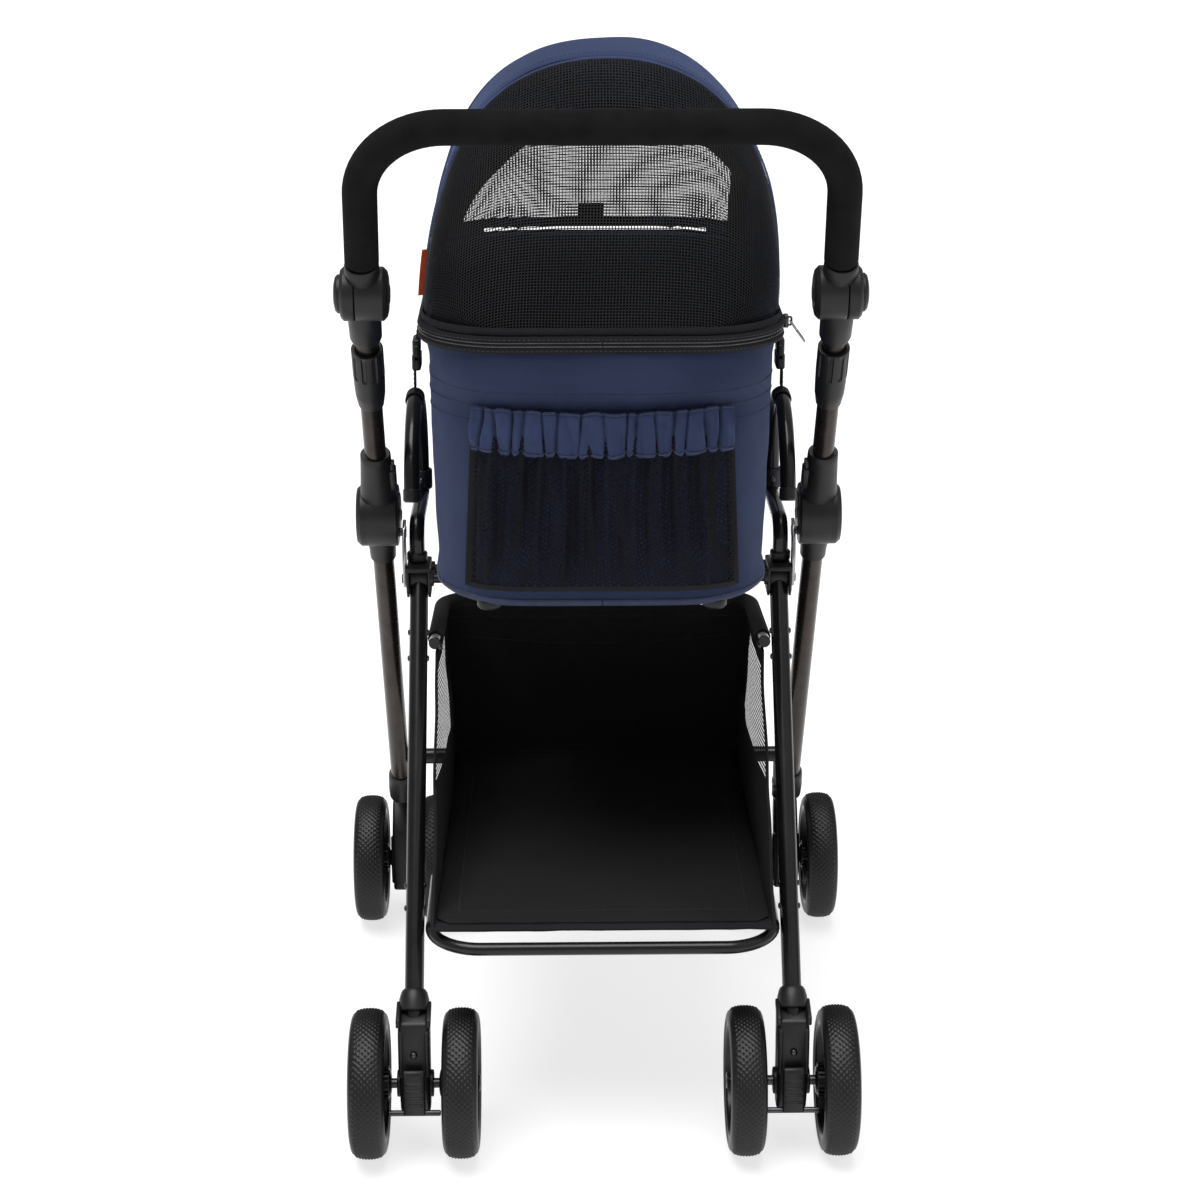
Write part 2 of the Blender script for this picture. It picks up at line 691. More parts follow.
def tilt_joint(word, side):
    """The handle's tilting joint: a ring on the arm, a disc on the handlebar, and the push button."""
    button = f"tilt_button_{word}"
    tilt = middle(button, INTO_ARM).z
    centre = ARM @ along_x(Vector((0, 0, tilt)))

    node_name = f"tilt_joint_lower_{word}"
    low, high = span(node_name, INTO_ARM)
    near, far = SIDE_X + 0.0074, max(abs(low.x), abs(high.x))
    radius, inner, foot = high.z - tilt, 0.0192, low.z
    ring = moulded("ring", [
        (0, near), (radius, near), (radius, far - 0.003), (radius - 0.003, far), (inner, far),
        (inner, near + 0.003), (0, near + 0.003),
    ], side, centre)
    sleeve = loft(side * SIDE_X, [
        (foot, 0.0120, 0.0120), (foot + 0.0015, 0.0143, 0.0143), (foot + 0.006, 0.0158, 0.0158),
        (foot + 0.026, 0.0162, 0.0162), (tilt - 0.026, 0.0162, 0.0165), (tilt - BUTTON_CLEAR, 0.0155, 0.0160),
    ])
    fit(merge(f"tilt_fixed_{word}", [ring, sleeve]), "handle_arms", "black_plastic", node_name)

    node_name = f"tilt_joint_upper_{word}"
    low, high = span(node_name, INTO_ARM)
    near, far = SIDE_X - 0.025, SIDE_X + 0.0066
    radius, top = tilt - low.z, high.z
    face = moulded("disc", [
        (0, near), (radius * 0.66, near), (radius - 0.004, near + 0.0012), (radius, near + 0.005), (radius, far),
        (0, far),
    ], side, centre)
    cap = disc("cap", 0.009, side * (near - 0.0012), side * far, 0.001, PLASTIC, centre, 40)
    sleeve = loft(side * GRIP_X, [
        (tilt + BUTTON_CLEAR, 0.0160, 0.0160), (tilt + 0.026, 0.0168, 0.0165), (top - 0.0015, 0.0166, 0.0166),
        (top, 0.0155, 0.0155),
    ])
    fit(merge(f"tilt_moving_{word}", [face, cap, sleeve]), "handlebar", "black_plastic", node_name)

    low, high = span(button, INTO_ARM)
    near, far = sorted((abs(low.x), abs(high.x)))
    piece = moulded(f"button_{word}", [
        (0, near), (0.0187, near), (0.0187, far - 0.0045), (0.0165, far - 0.0022), (0.010, far - 0.0006),
        (0.0085, far - 0.0012), (0.0070, far - 0.0012), (0.0055, far - 0.0004), (0, far),
    ], side, centre, 56)
    fit(piece, button, "black_plastic", button)


def handlebar():
    """The foam grip over the bar: one long U, with the bar's ends inside the joints."""
    low, high = span("foam_grip", INTO_ARM)
    radius = high.y
    top = high.z - radius
    half, foot = 0.221, GRIP_X - 0.0004
    corners = [(-foot, 0, low.z), (-half, 0, top), (half, 0, top), (foot, 0, low.z)]
    route = [ARM @ point for point in rounded(corners, 0.080, 16)]
    fit(tube("foam_sleeve", route, radius, FOAM, 40, edge=0.0035), "handlebar", "foam", "foam_grip")
    bar_low = span("handlebar_tube", INTO_ARM)[0].z
    stubs = []
    for word, side in SIDES:
        stub_foot = ARM @ Vector((side * GRIP_X, 0, bar_low))
        stub_head = ARM @ Vector((side * (GRIP_X - 0.0007), 0, low.z + 0.02))
        stubs.append(tube("stub", [stub_foot, stub_head], 0.010, GLOSS_TUBE))
    fit(merge("bar_ends", stubs), "handlebar", "gloss_tube", "handlebar_tube")


# ---- wheels ----
WHEEL_HALF = 0.018
TREAD_HALF = 0.0150
TREAD_STEPS = 20
TREAD_AROUND = 320
GROOVE = 0.0017
DIAMOND = 4


def wheel_mesh(radius):
    """One wheel about the X axis at the origin, its boss towards +X, with a diamond tread."""
    place = along_x(Vector((0, 0, 0)))
    tread = []
    for k in range(TREAD_STEPS + 1):
        share = 2 * k / TREAD_STEPS - 1
        tread.append((radius - GROOVE - 0.0036 * abs(share) ** 2.6, share * TREAD_HALF))
    left = [
        (0.0585, -WHEEL_HALF + 0.0015), (0.0600, -WHEEL_HALF + 0.0002), (0.0630, -WHEEL_HALF),
        (0.0665, -WHEEL_HALF + 0.0008), (0.0692, -WHEEL_HALF + 0.0020),
    ]
    right = [(size, -along) for size, along in reversed(left)]

    def relief(i, k, size):
        rank = i - len(left)
        if not 0 < rank < TREAD_STEPS:
            return size
        crossing = math.sin(math.pi * (rank + k) / DIAMOND) * math.sin(math.pi * (rank - k) / DIAMOND)
        return size + GROOVE * abs(crossing)

    parts = [turned("tyre", [*left, *tread, *right], TYRE, place, TREAD_AROUND, relief, 50)]
    inner = WHEEL_HALF - 0.0012
    lip = [(0.0600, -inner + 0.002), (0.0592, -inner), (0.0562, -inner), (0.0548, -inner + 0.0022)]
    dish = [(0.0535, -0.0062), (0.0500, -0.0052), (0.020, -0.0030), (0.016, -0.0062), (0.0, -0.0066)]
    back = [
        (0.0, 0.0222), (0.0085, 0.0222), (0.0132, 0.0212), (0.0140, 0.0195), (0.0140, 0.0062),
        (0.0500, 0.0052), (0.0535, 0.0062), *[(size, -along) for size, along in reversed(lip)],
    ]
    parts.append(turned("rim", rounded([*lip, *dish], 0.0015, 2), RIM_PLASTIC, place, 72))
    parts.append(turned("rim_back", rounded(back, 0.0012, 2), RIM_PLASTIC, place, 72))
    for turn in turns_about_x(8):
        for face in (-1, 1):
            rib = [(-0.0022, 0.012), (0.0022, 0.012), (0.0014, 0.0545), (-0.0014, 0.0545)]
            parts.append(prism("rib", rib, face * 0.002, face * 0.0088, "X", RIM_PLASTIC, 0.0009, 2, turn))
    for turn in turns_about_x(18):
        tooth = [(-0.0014, 0.013), (0.0014, 0.013), (0.0009, 0.0172), (-0.0009, 0.0172)]
        parts.append(prism("tooth", tooth, 0.0105, 0.0195, "X", RIM_PLASTIC, 0.0004, 1, turn))
    return merge("wheel", parts)


def turns_about_x(count):
    return [Matrix.Rotation(2 * math.pi * k / count, 4, "X") for k in range(count)]


def wheels():
    pattern = wheel_mesh(middle("rear_wheel_right_outer").z)
    for word, side in SIDES:
        for end in ("front", "rear"):
            for place, boss in (("outer", -side), ("inner", side)):
                node_name = f"{end}_wheel_{word}_{place}"
                centre = pivot_of(f"{end}_spin_{word}_{place}")
                low, high = span(node_name)
                x = low.x + WHEEL_HALF if boss > 0 else high.x - WHEEL_HALF
                obj = add_object(f"wheel_{end}_{word}_{place}", pattern.data)
                turn = Matrix.Rotation(0 if boss > 0 else math.pi, 4, "Z")
                obj.matrix_world = Matrix.Translation((x, centre.y, centre.z)) @ turn
                fit(obj, node_name, "tyre", node_name)
    bpy.data.objects.remove(pattern)


# ---- front casters ----
def caster(word, side):
    """The socket on the leg, and the fork that swivels under it with the wheels' axle."""
    x = side * SIDE_X
    socket = f"caster_socket_{word}"
    y = pivot_of(f"swivel_{word}").y
    upright = Matrix.Translation((x, y, 0))
    base = span(socket)[0].z
    end = span(f"front_leg_{word}", INTO_ARM)[0].z
    sleeve = loft(x, [
        (end - 0.009, 0.0125, 0.0125), (end - 0.007, 0.0145, 0.0145), (end + 0.008, 0.0150, 0.0150),
        (end + 0.026, 0.0142, 0.0142), (end + 0.0325, 0.0136, 0.0136), (end + 0.034, 0.0124, 0.0124),
    ])
    boss = turned("boss", rounded([
        (0, base), (0.0162, base), (0.0162, base + 0.006), (0.0150, base + 0.010), (0.0150, base + 0.029),
        (0.0125, base + 0.035), (0, base + 0.036),
    ], 0.002, 3), PLASTIC, upright)
    web = [(y - 0.046, base + 0.008), (y, base + 0.003), (y, base + 0.031), (y - 0.050, base + 0.043)]
    ear = [
        (y - 0.030, base + 0.004), (y - 0.004, base + 0.002), (y - 0.004, base + 0.018), (y - 0.026, base + 0.022),
    ]
    parts = [sleeve, boss, slab("web", web, x, 0.0095, 0.003), slab("ear", ear, x, 0.0125, 0.003)]
    fit(merge(f"socket_{word}", parts), "frame", "black_plastic", socket)

    fork = f"caster_fork_{word}"
    axle = pivot_of(f"front_spin_{word}_outer")
    foot, head = base - 0.015, base - 0.0006
    profile = rounded([(0, foot), (0.0158, foot), (0.0158, head), (0, head)], 0.002, 3)
    flange = turned("flange", profile, PLASTIC, upright)
    stem = disc("stem", 0.008, base - 0.004, base + 0.02, 0.001, DARK_STEEL, upright, 32)
    housing = [
        (y + 0.014, 0.144), (y - 0.014, 0.144), (axle.y - 0.014, 0.112), (axle.y - 0.017, 0.075),
        (axle.y - 0.009, 0.036), (axle.y + 0.009, 0.031), (axle.y + 0.017, 0.060), (y + 0.014, 0.118),
    ]
    ridge = [
        (axle.y - 0.0165, 0.075), (axle.y - 0.0095, 0.045), (axle.y + 0.006, 0.045), (axle.y + 0.010, 0.100),
        (axle.y - 0.012, 0.108),
    ]
    reach = max(abs(v.x - x) for v in span(fork))
    ends = [(x - reach, axle.y, axle.z), (x + reach, axle.y, axle.z)]
    parts = [flange, stem, slab("housing", housing, x, 0.0135, 0.003), slab("ridge", ridge, x, 0.0155, 0.002)]
    parts.append(tube("axle", ends, 0.005, DARK_STEEL))
    for way in (-1, 1):
        centre = along_x(Vector((x, axle.y, axle.z)))
        parts.append(disc("ring", 0.0095, way * 0.0135, way * 0.0168, 0.001, PLASTIC, centre, 32))
    fit(merge(f"fork_{word}", parts), f"caster_{word}", "black_plastic", fork)


# ---- rear legs and wheel housings ----
REAR_PIVOT = pivot_of("rear_leg_fold")
REAR_FOOT = Vector((0, -0.275, 0.150))
REAR_AXLE_Z = 0.075
REAR_DOWN = (REAR_FOOT - REAR_PIVOT).normalized()


def rear_leg(word, side):
    node_name = f"rear_leg_{word}"
    low, high = span(node_name)
    x = side * REAR_X
    radius = (high.x - low.x) / 2
    top = Vector((x, REAR_PIVOT.y, REAR_PIVOT.z))
    foot = Vector((x, REAR_FOOT.y, REAR_FOOT.z)) + REAR_DOWN * 0.009
    parts = [tube("bar", [top - REAR_DOWN * 0.004, foot], radius, GLOSS_TUBE, 36)]
    parts.append(disc("eye", 0.0128, x - radius, x + radius, 0.001, PLASTIC, along_x(REAR_PIVOT), 40))
    for share in (0.13, 0.19, 0.70, 0.75):
        for way in (-1, 1):
            parts.append(rivet(top.lerp(foot, share) + X_AXIS * way * radius, X_AXIS * way, 0.0032))
    fit(merge(f"leg_{word}", parts), "rear_frame", "gloss_tube", node_name)


def rear_unit(word, side):
    """The housing between the twin wheels, its axle, and the brake pedal."""
    x = side * REAR_X
    node_name = f"rear_housing_{word}"
    low, high = span(node_name)
    parts = [slab("body", [
        (low.y, 0.098), (low.y + 0.004, 0.150), (low.y + 0.034, 0.158), (high.y, 0.142),
        (high.y - 0.006, 0.100), (high.y - 0.006, 0.060), (high.y - 0.016, low.z), (low.y + 0.014, low.z),
        (low.y + 0.008, 0.062),
    ], x, 0.0150, 0.004)]
    cheek = [(low.y - 0.001, 0.094), (low.y + 0.002, 0.140), (low.y + 0.010, 0.147), (low.y + 0.013, 0.092)]
    ear = [(low.y + 0.001, 0.147), (low.y + 0.030, 0.157), (low.y + 0.030, 0.163), (low.y + 0.001, 0.156)]
    centre = along_x(Vector((x, REAR_FOOT.y, REAR_AXLE_Z)))
    for way in (-1, 1):
        for outline, start, end, bevel in ((cheek, 0.0105, 0.0155, 0.0018), (ear, 0.0130, 0.0172, 0.0012)):
            parts.append(prism("side", outline, x + way * start, x + way * end, "X", PLASTIC, bevel))
        parts.append(disc("ring", 0.0135, way * 0.014, way * 0.0182, 0.001, PLASTIC, centre, 40))
    top = Vector((x, REAR_FOOT.y, REAR_FOOT.z)) - REAR_DOWN * 0.026
    route = [top + REAR_DOWN * down for down in (0, 0.003, 0.010, 0.022)]
    parts.append(tube("collar", route, lambda share: 0.0118 + 0.0032 * min(share * 3, 1), PLASTIC, 40))
    parts.append(rivet(Vector((x, low.y - 0.0005, 0.118)), -Y_AXIS, 0.0035))
    fit(merge(f"housing_{word}", parts), "rear_frame", "black_plastic", node_name)

    axle = f"rear_axle_{word}"
    a_low, a_high = span(axle)
    parts = [crossbar("rod", axle, DARK_STEEL, 24)]
    centre = middle(axle)
    for way, end in ((-1, a_low.x), (1, a_high.x)):
        place = along_x(Vector((0, centre.y, centre.z)))
        parts.append(disc("cap", 0.0082, end - way * 0.003, end, 0.0015, RIM_PLASTIC, place, 32))
    fit(merge(f"axle_{word}", parts), "rear_frame", "steel", axle)

    pedal = f"brake_pedal_{word}"
    low, high = span(pedal)
    y = low.y
    parts = [slab("plate", [
        (y, low.z + 0.002), (y + 0.008, low.z + 0.002), (y + 0.008, high.z - 0.004), (y + 0.004, high.z),
        (y, high.z - 0.004),
    ], x, 0.011, 0.0022)]
    for k in range(4):
        z = low.z + 0.012 + 0.008 * k
        outline = [(y - 0.0008, z), (y + 0.002, z), (y + 0.002, z + 0.003), (y - 0.0008, z + 0.003)]
        parts.append(slab("tread", outline, x, 0.0085, 0.0006, 2))
    ends = [(x + way * 0.026, y + 0.004, low.z + 0.004) for way in (-1, 1)]
    parts.append(tube("pin", ends, 0.003, DARK_STEEL))
    fit(merge(f"pedal_{word}", parts), pedal, "black_plastic", pedal)


# ---- cross tubes, cradle, link plates and arches ----
def straight_bars():
    for name, node_name, segments in (
        ("cross_bar", "front_cross_tube", 36), ("cradle_bar_rear", "cradle_rod_rear", 28),
        ("cradle_bar_front", "cradle_rod_front", 28),
    ):
        fit(crossbar(name, node_name, GLOSS_TUBE, segments), "frame", "gloss_tube", node_name)


def cradle_bracket(word, side):
    """A channel over the two cradle rods, with a ferrule round each rod."""
    node_name = f"cradle_bracket_{word}"
    low, high = span(node_name)
    cheek, cut = 0.0026, 0.008
    parts = [block("roof", (low.x, low.y, high.z - 0.0044), (high.x, high.y, high.z), PLASTIC, 0.0018)]
    outline = [
        (low.y, high.z - 0.001), (high.y, high.z - 0.001), (high.y, low.z + cut), (high.y - cut, low.z),
        (low.y + cut, low.z), (low.y, low.z + cut),
    ]
    for start in (low.x, high.x - cheek):
        parts.append(prism("cheek", outline, start, start + cheek, "X", PLASTIC, 0.0009))
    for rod in ("cradle_rod_rear", "cradle_rod_front"):
        centre = middle(rod)
        place = along_x(Vector((low.x if side > 0 else high.x, centre.y, centre.z)))
        parts.append(disc("ferrule", 0.0082, -side * 0.0035, side * 0.001, 0.001, PLASTIC, place, 32))
    fit(merge(f"bracket_{word}", parts), "frame", "black_plastic", node_name)


def link_plate(word, side):
    """A bright crescent from the hub down to the bracket, with a dark pin at each end."""
    start = REAR_X + 0.0129
    centre_z = 0.540
    outline = []
    for radius, centre_y, first, last, steps in ((0.052, 0.038, 142, 218, 16), (0.096, 0.100, 203, 157, 12)):
        for k in range(steps + 1):
            angle = math.radians(first + (last - first) * k / steps)
            outline.append((centre_y + radius * math.cos(angle), centre_z + radius * math.sin(angle)))
    parts = [prism("plate", outline, side * start, side * (start + 0.0036), "X", STEEL, 0.0006, 2)]
    upper, lower = along_x(Vector((0, 0.004, 0.566))), along_x(Vector((0, 0.0035, 0.515)))
    for place, radius, first, last, edge in (
        (upper, 0.0042, start + 0.003, SIDE_X - 0.0199, 0.0008),
        (upper, 0.0058, start - 0.0004, start + 0.001, 0.0004),
        (lower, 0.0050, start - 0.0004, start + 0.0055, 0.001),
    ):
        parts.append(disc("pin", radius, side * first, side * last, edge, DARK_STEEL, place, 28))
    fit(merge(f"crescent_{word}", parts), "frame", "steel", f"link_plate_{word}")


ARCH_X = 0.190
ARCH_Y = 0.032
ARCH_BOW = 0.103
ARCH_TUBE = 0.008
ARCH_SWEEP = math.radians(168)
ARCH_FOOT_Y = 0.008


def arch(word, side):
    """A round tube that stands up from the cradle and bows back over the strap's loop."""
    node_name = f"arch_tube_{word}"
    low, high = span(node_name)
    x = side * ARCH_X
    front = ARCH_Y + ARCH_BOW
    springing = high.z - ARCH_TUBE - ARCH_BOW
    corners = [(x, ARCH_FOOT_Y, low.z), (x, ARCH_FOOT_Y, 0.574), (x, front, 0.570), (x, front, springing)]
    route = rounded(corners, 0.026, 8)
    steps = 24
    for k in range(1, steps + 1):
        angle = ARCH_SWEEP * k / steps
        route.append(Vector((x, ARCH_Y + ARCH_BOW * math.cos(angle), springing + ARCH_BOW * math.sin(angle))))
    heading = (route[-1] - route[-2]).normalized()
    tip = [route[-1] - heading * 0.014, route[-1] + heading * 0.0008]
    collar_z = springing - 0.012
    parts = [tube("bar", route, ARCH_TUBE, GLOSS_TUBE, 28), tube("cap", tip, 0.0088, PLASTIC, 32, edge=0.002)]
    at_front, at_foot = Matrix.Translation((x, front, 0)), Matrix.Translation((x, ARCH_FOOT_Y, 0))
    parts.append(disc("collar", 0.0112, collar_z - 0.011, collar_z + 0.011, 0.002, PLASTIC, at_front, 40))
    parts.append(rivet(Vector((x, front - 0.0112, collar_z)), -Y_AXIS, 0.0034))
    parts.append(disc("foot", 0.0108, low.z, low.z + 0.010, 0.002, PLASTIC, at_foot, 40))
    fit(merge(f"arch_{word}", parts), "frame", "gloss_tube", node_name)


# ---- basket ----
HOOP_RADIUS = 0.0065
HOOP_BEND = 0.050
HOOP_FRONT = (0.185, 0.433)
HOOP_REAR = (-0.045, 0.460)
HOOP_X = span("basket_upper_hoop")[1].x - HOOP_RADIUS


def hoop_corners(half, rear, front):
    """A U in the plane through two places, each a pair of Y and Z."""
    return [(-half, *rear), (-half, *front), (half, *front), (half, *rear)]


def hoops():
    low, high = span("basket_lower_hoop")
    z = (low.z + high.z) / 2
    for place, body, half, rear, front in (
        ("lower", "rear_frame", high.x - HOOP_RADIUS, (high.y, z), (low.y + HOOP_RADIUS, z)),
        ("upper", "basket_hoop", HOOP_X, HOOP_REAR, HOOP_FRONT),
    ):
        corners = hoop_corners(half, rear, front)
        parts = [tube("bar", rounded(corners, HOOP_BEND, 12), HOOP_RADIUS, GLOSS_TUBE, 28)]
        for word, side in SIDES:
            point = Vector((side * (half - HOOP_RADIUS), rear[0] - 0.012, rear[1]))
            parts.append(rivet(point, -side * X_AXIS, 0.0034))
        fit(merge(f"hoop_{place}", parts), body, "gloss_tube", f"basket_{place}_hoop")


BASKET_HALF = span("basket")[1].x
BASKET_FLOOR_REAR = (-0.264, 0.2335)
BASKET_FLOOR_FRONT = (0.203, 0.238)
BASKET_TOP_FRONT = (0.170, 0.428)
BASKET_TOP_REAR = (-0.045, 0.448)


def basket_half(y):
    """Half the basket's width: wider at the back, where it meets the lower hoop's arms."""
    return BASKET_HALF + 0.006 * clamp((0.10 - y) / 0.36, 0, 1)


def between(a, b, share):
    return (a[0] + (b[0] - a[0]) * share, a[1] + (b[1] - a[1]) * share)


def basket_floor():
    """The stiff insert that lies on the basket's floor, with a stitched edge."""
    start, end = BASKET_FLOOR_REAR[0] + 0.010, BASKET_FLOOR_FRONT[0] - 0.010
    last, across, seam = 40, 32, 2
    rows = []
    for i in range(last + 1):
        y = start + (end - start) * i / last
        margin = min(y - start, end - y)
        half = basket_half(y) - 0.004 - 0.012 * max(1 - margin / 0.012, 0) ** 2
        row = []
        for k in range(across + 1):
            u = 2 * k / across - 1
            x = u * half
            edge = max(abs(u) ** 14, max(1 - margin / 0.004, 0))
            z = 0.2425 + 0.005 * (y - start) / (end - start) - 0.0016 * edge
            row.append(Vector((x, y, z + 0.0012 * soft_noise((x, y, 0), 20, 4))))
        rows.append(row)
    pad = surface("basket_insert", rows, BLACK_CLOTH)
    solidify(pad, 0.0026)
    near, far = seam, across - seam
    loop = [rows[i][near] for i in range(seam, last - 1)] + [rows[last - seam][k] for k in range(near + 1, far)]
    loop += [rows[i][far] for i in range(last - seam, 1, -1)] + [rows[seam][k] for k in range(far, 1, -1)]
    line = [point + Vector((0, 0, 0.0003)) for point in loop]
    return [pad, stitches("insert_stitch", line, [Z_AXIS] * len(loop), BLACK_THREAD)]


def basket_side(word, side):
    """A side of net, solid at its foot and bound at its edges."""
    rows = []
    steps, across = 24, 40
    for i in range(steps + 1):
        share = i / steps
        row = []
        for k in range(across + 1):
            u = k / across
            low_y, low_z = between(BASKET_FLOOR_REAR, BASKET_FLOOR_FRONT, u)
            top_y, top_z = between(BASKET_TOP_REAR, BASKET_TOP_FRONT, u)
            bottom = Vector((side * basket_half(low_y), low_y, low_z + 0.003))
            point = bottom.lerp(Vector((side * (HOOP_X - 0.001), top_y, top_z + 0.002)), share)
            sag = math.sin(math.pi * share) * math.sin(math.pi * u)
            point.x -= side * (0.007 * sag + 0.002 * soft_noise(point, 18, 5))
            row.append(point)
        rows.append(row)
    net = surface(f"basket_side_{word}", rows, BASKET_NET)
    inward = -side * X_AXIS
    bands = []
    for route, shift in (
        ([row[0] for row in rows], (0, 0.012, 0)), (rows[-1], (0, 0, -0.020)),
        ([row[-1] for row in rows], (0, -0.050, 0)),
    ):
        left = [point + inward * 0.0004 for point in route]
        right = [point + Vector(shift) + inward * 0.0010 for point in route]
        for way, thickness in ((1, 0.0012), (-1, 0.0010)):
            bands.append(strip("band", left, right, [way * inward] * len(route), thickness, BLACK_CLOTH))
    foot = [[point + inward * 0.0012 for point in row] for row in rows[:steps // 2 + 1]]
    solid_part = surface("band_low", foot, BLACK_CLOTH)
    solidify(solid_part, 0.0024, offset=0.0)
    bands.append(solid_part)
    return net, merge(f"basket_binding_{word}", bands)


def basket_sheet():
    """Floor and front in one, from the floor's rear edge to the upper hoop; also its rows and its length."""
    places = (BASKET_FLOOR_REAR, BASKET_FLOOR_FRONT, BASKET_TOP_FRONT)
    turn = rounded([(y, z, 0) for y, z in places], 0.010, 8)
    line = []
    for start, end in zip(turn, turn[1:]):
        steps = max(int((end - start).length / 0.012), 1)
        line += [start.lerp(end, k / steps) for k in range(steps)]
    line.append(turn[-1])
    total = distances(line)
    across = 40
    rows = []
    for i, (y, z, _) in enumerate(line):
        swell = 0.005 * math.sin(math.pi * total[i] / total[-1])
        half = basket_half(y) + 0.0075 * max((z - 0.245) / 0.185, 0)
        row = []
        for k in range(across + 1):
            u = 2 * k / across - 1
            x = u * half
            ripple = 0.0012 * soft_noise((x, y, z), 22, 3) + 0.0006 * soft_noise((x, y, z), 55, 9)
            if z < 0.2400 and y < 0.185:
                row.append(Vector((x, y, z + 0.0025 + ripple)))
            else:
                row.append(Vector((x, y - 0.003 + swell * (1 - u * u) + 2.5 * ripple, z + 0.002)))
        rows.append(row)
    sheet = surface("basket_sheet", rows, BLACK_CLOTH)
    solidify(sheet, 0.002)
    return sheet, rows, total[-1]


def basket_hems(rows):
    """Hems at the sheet's two ends, and the seam across its front."""
    forward = Vector((0, -1, 0.1))
    parts = []
    for row, shift, normal in ((rows[0], (0, 0.014, 0.0008), Z_AXIS), (rows[-1], (0, 0.003, -0.018), forward)):
        left = [point + normal * 0.0012 for point in row]
        right = [point + Vector(shift) + normal * 0.0012 for point in row]
        normals = [normal] * len(row)
        parts.append(strip("hem", left, right, normals, 0.0012, BINDING))
        line = [p.lerp(q, 0.75) + normal * 0.0014 for p, q in zip(left, right)]
        parts.append(stitches("stitch", line, normals, BLACK_THREAD))
    seam = min(rows, key=lambda row: abs(row[len(row) // 2].z - 0.400))
    arc = [point + Vector((0, -0.0014, -0.012 * (1 - (point.x / BASKET_HALF) ** 2))) for point in seam]
    parts.append(stitches("front_seam", arc, [forward] * len(arc), BLACK_THREAD))
    return merge("basket_hems", parts)


def basket():
    """Floor and front in one sheet, a side of net at each hand, an insert, and a sleeve on the upper hoop."""
    sheet, rows, length = basket_sheet()
    sides = [basket_side(word, side) for word, side in SIDES]
    hem = basket_hems(rows)
    insert = basket_floor()
    nets = [net for net, binding in sides]
    bindings = [binding for net, binding in sides]
    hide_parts("basket")
    for obj in (sheet, hem, *nets, *bindings, *insert):
        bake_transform(obj)
    corners = hoop_corners(HOOP_X, (-0.022, 0.4573), HOOP_FRONT)
    sleeve = tube("hoop_sleeve", rounded(corners, HOOP_BEND, 12), 0.0084, BLACK_CLOTH)
    fit(sleeve, "basket_hoop", "black_cloth")


# ---- carrier ----
TUB_LOW, TUB_HIGH = span("carrier_tub")
TUB_MIDDLE = middle("carrier_tub")
HALF_X = TUB_HIGH.x
HALF_Y = (TUB_HIGH.y - TUB_LOW.y) / 2
CORNER = 0.095
TAPER = 0.96
RIM = TUB_HIGH.z
BOTTOM = TUB_LOW.z
WALL = 0.006


def height_share(z):
    """0 at the tub's foot, 1 at its rim."""
    return (z - BOTTOM) / (RIM - BOTTOM)


def plan(offset, z, count=168):
    """Points round the carrier at a height, evenly spaced from the middle of the back, each with its normal."""
    x, y = HALF_X + offset, HALF_Y + offset
    corners = [(0, -y, 0), (x, -y, 0), (x, y, 0), (-x, y, 0), (-x, -y, 0), (0, -y, 0)]
    route = rounded(corners, CORNER + offset, 16)
    total = distances(route)
    scale = TAPER + (1 - TAPER) * min(height_share(z), 1)
    points = []
    i = 0
    for k in range(count + 1):
        target = min(total[-1] * k / count, total[-1] - 1e-9)
        while total[i + 1] < target:
            i += 1
        share = (target - total[i]) / max(total[i + 1] - total[i], 1e-9)
        flat = route[i].lerp(route[i + 1], share)
        ahead = (route[i + 1] - route[i]).normalized()
        outward = Vector((ahead.y, -ahead.x, 0))
        points.append((Vector((flat.x * scale, flat.y * scale + TUB_MIDDLE.y, z)), outward))
    return points


def ring(offset, z, count=168):
    """The plan's points alone."""
    return [point for point, outward in plan(offset, z, count)]


def sides_in(z):
    """How far the walls are drawn in under the zip: the rim is wider than the tub below it."""
    return 0.0055 * clamp((1 - height_share(z)) / 0.12, 0, 1)


def back_swell(z, outward):
    """The back wall stands out under the rim, folds in at the seams, and leans in towards its foot."""
    share = height_share(z)
    shoulder = 0.0095 * math.exp(-((share - 0.845) / 0.07) ** 2)
    shoulder -= 0.0040 * math.exp(-((share - 0.71) / 0.06) ** 2)
    return (shoulder - 0.004 * (1 - share)) * max(-outward.y, 0) ** 2


def tub_point(point, outward, z):
    """A place on the tub's outside: the plan's point, swollen and rippled."""
    ripple = 0.0022 * soft_noise((point.x, point.y, z * 0.35), 14, 1)
    ripple += 0.0009 * soft_noise((point.x + 0.3 * z, point.y, z * 0.6), 42, 4)
    swell = 0.0020 * math.sin(math.pi * height_share(z)) - sides_in(z) * outward.x * outward.x
    return point + outward * (swell + back_swell(z, outward) + ripple)


def floor_sag(point, outward):
    """How far the tub's floor hangs down at the back."""
    return 0.0065 * max(-outward.y, 0) * max(1 - (point.x / 0.16) ** 4, 0)


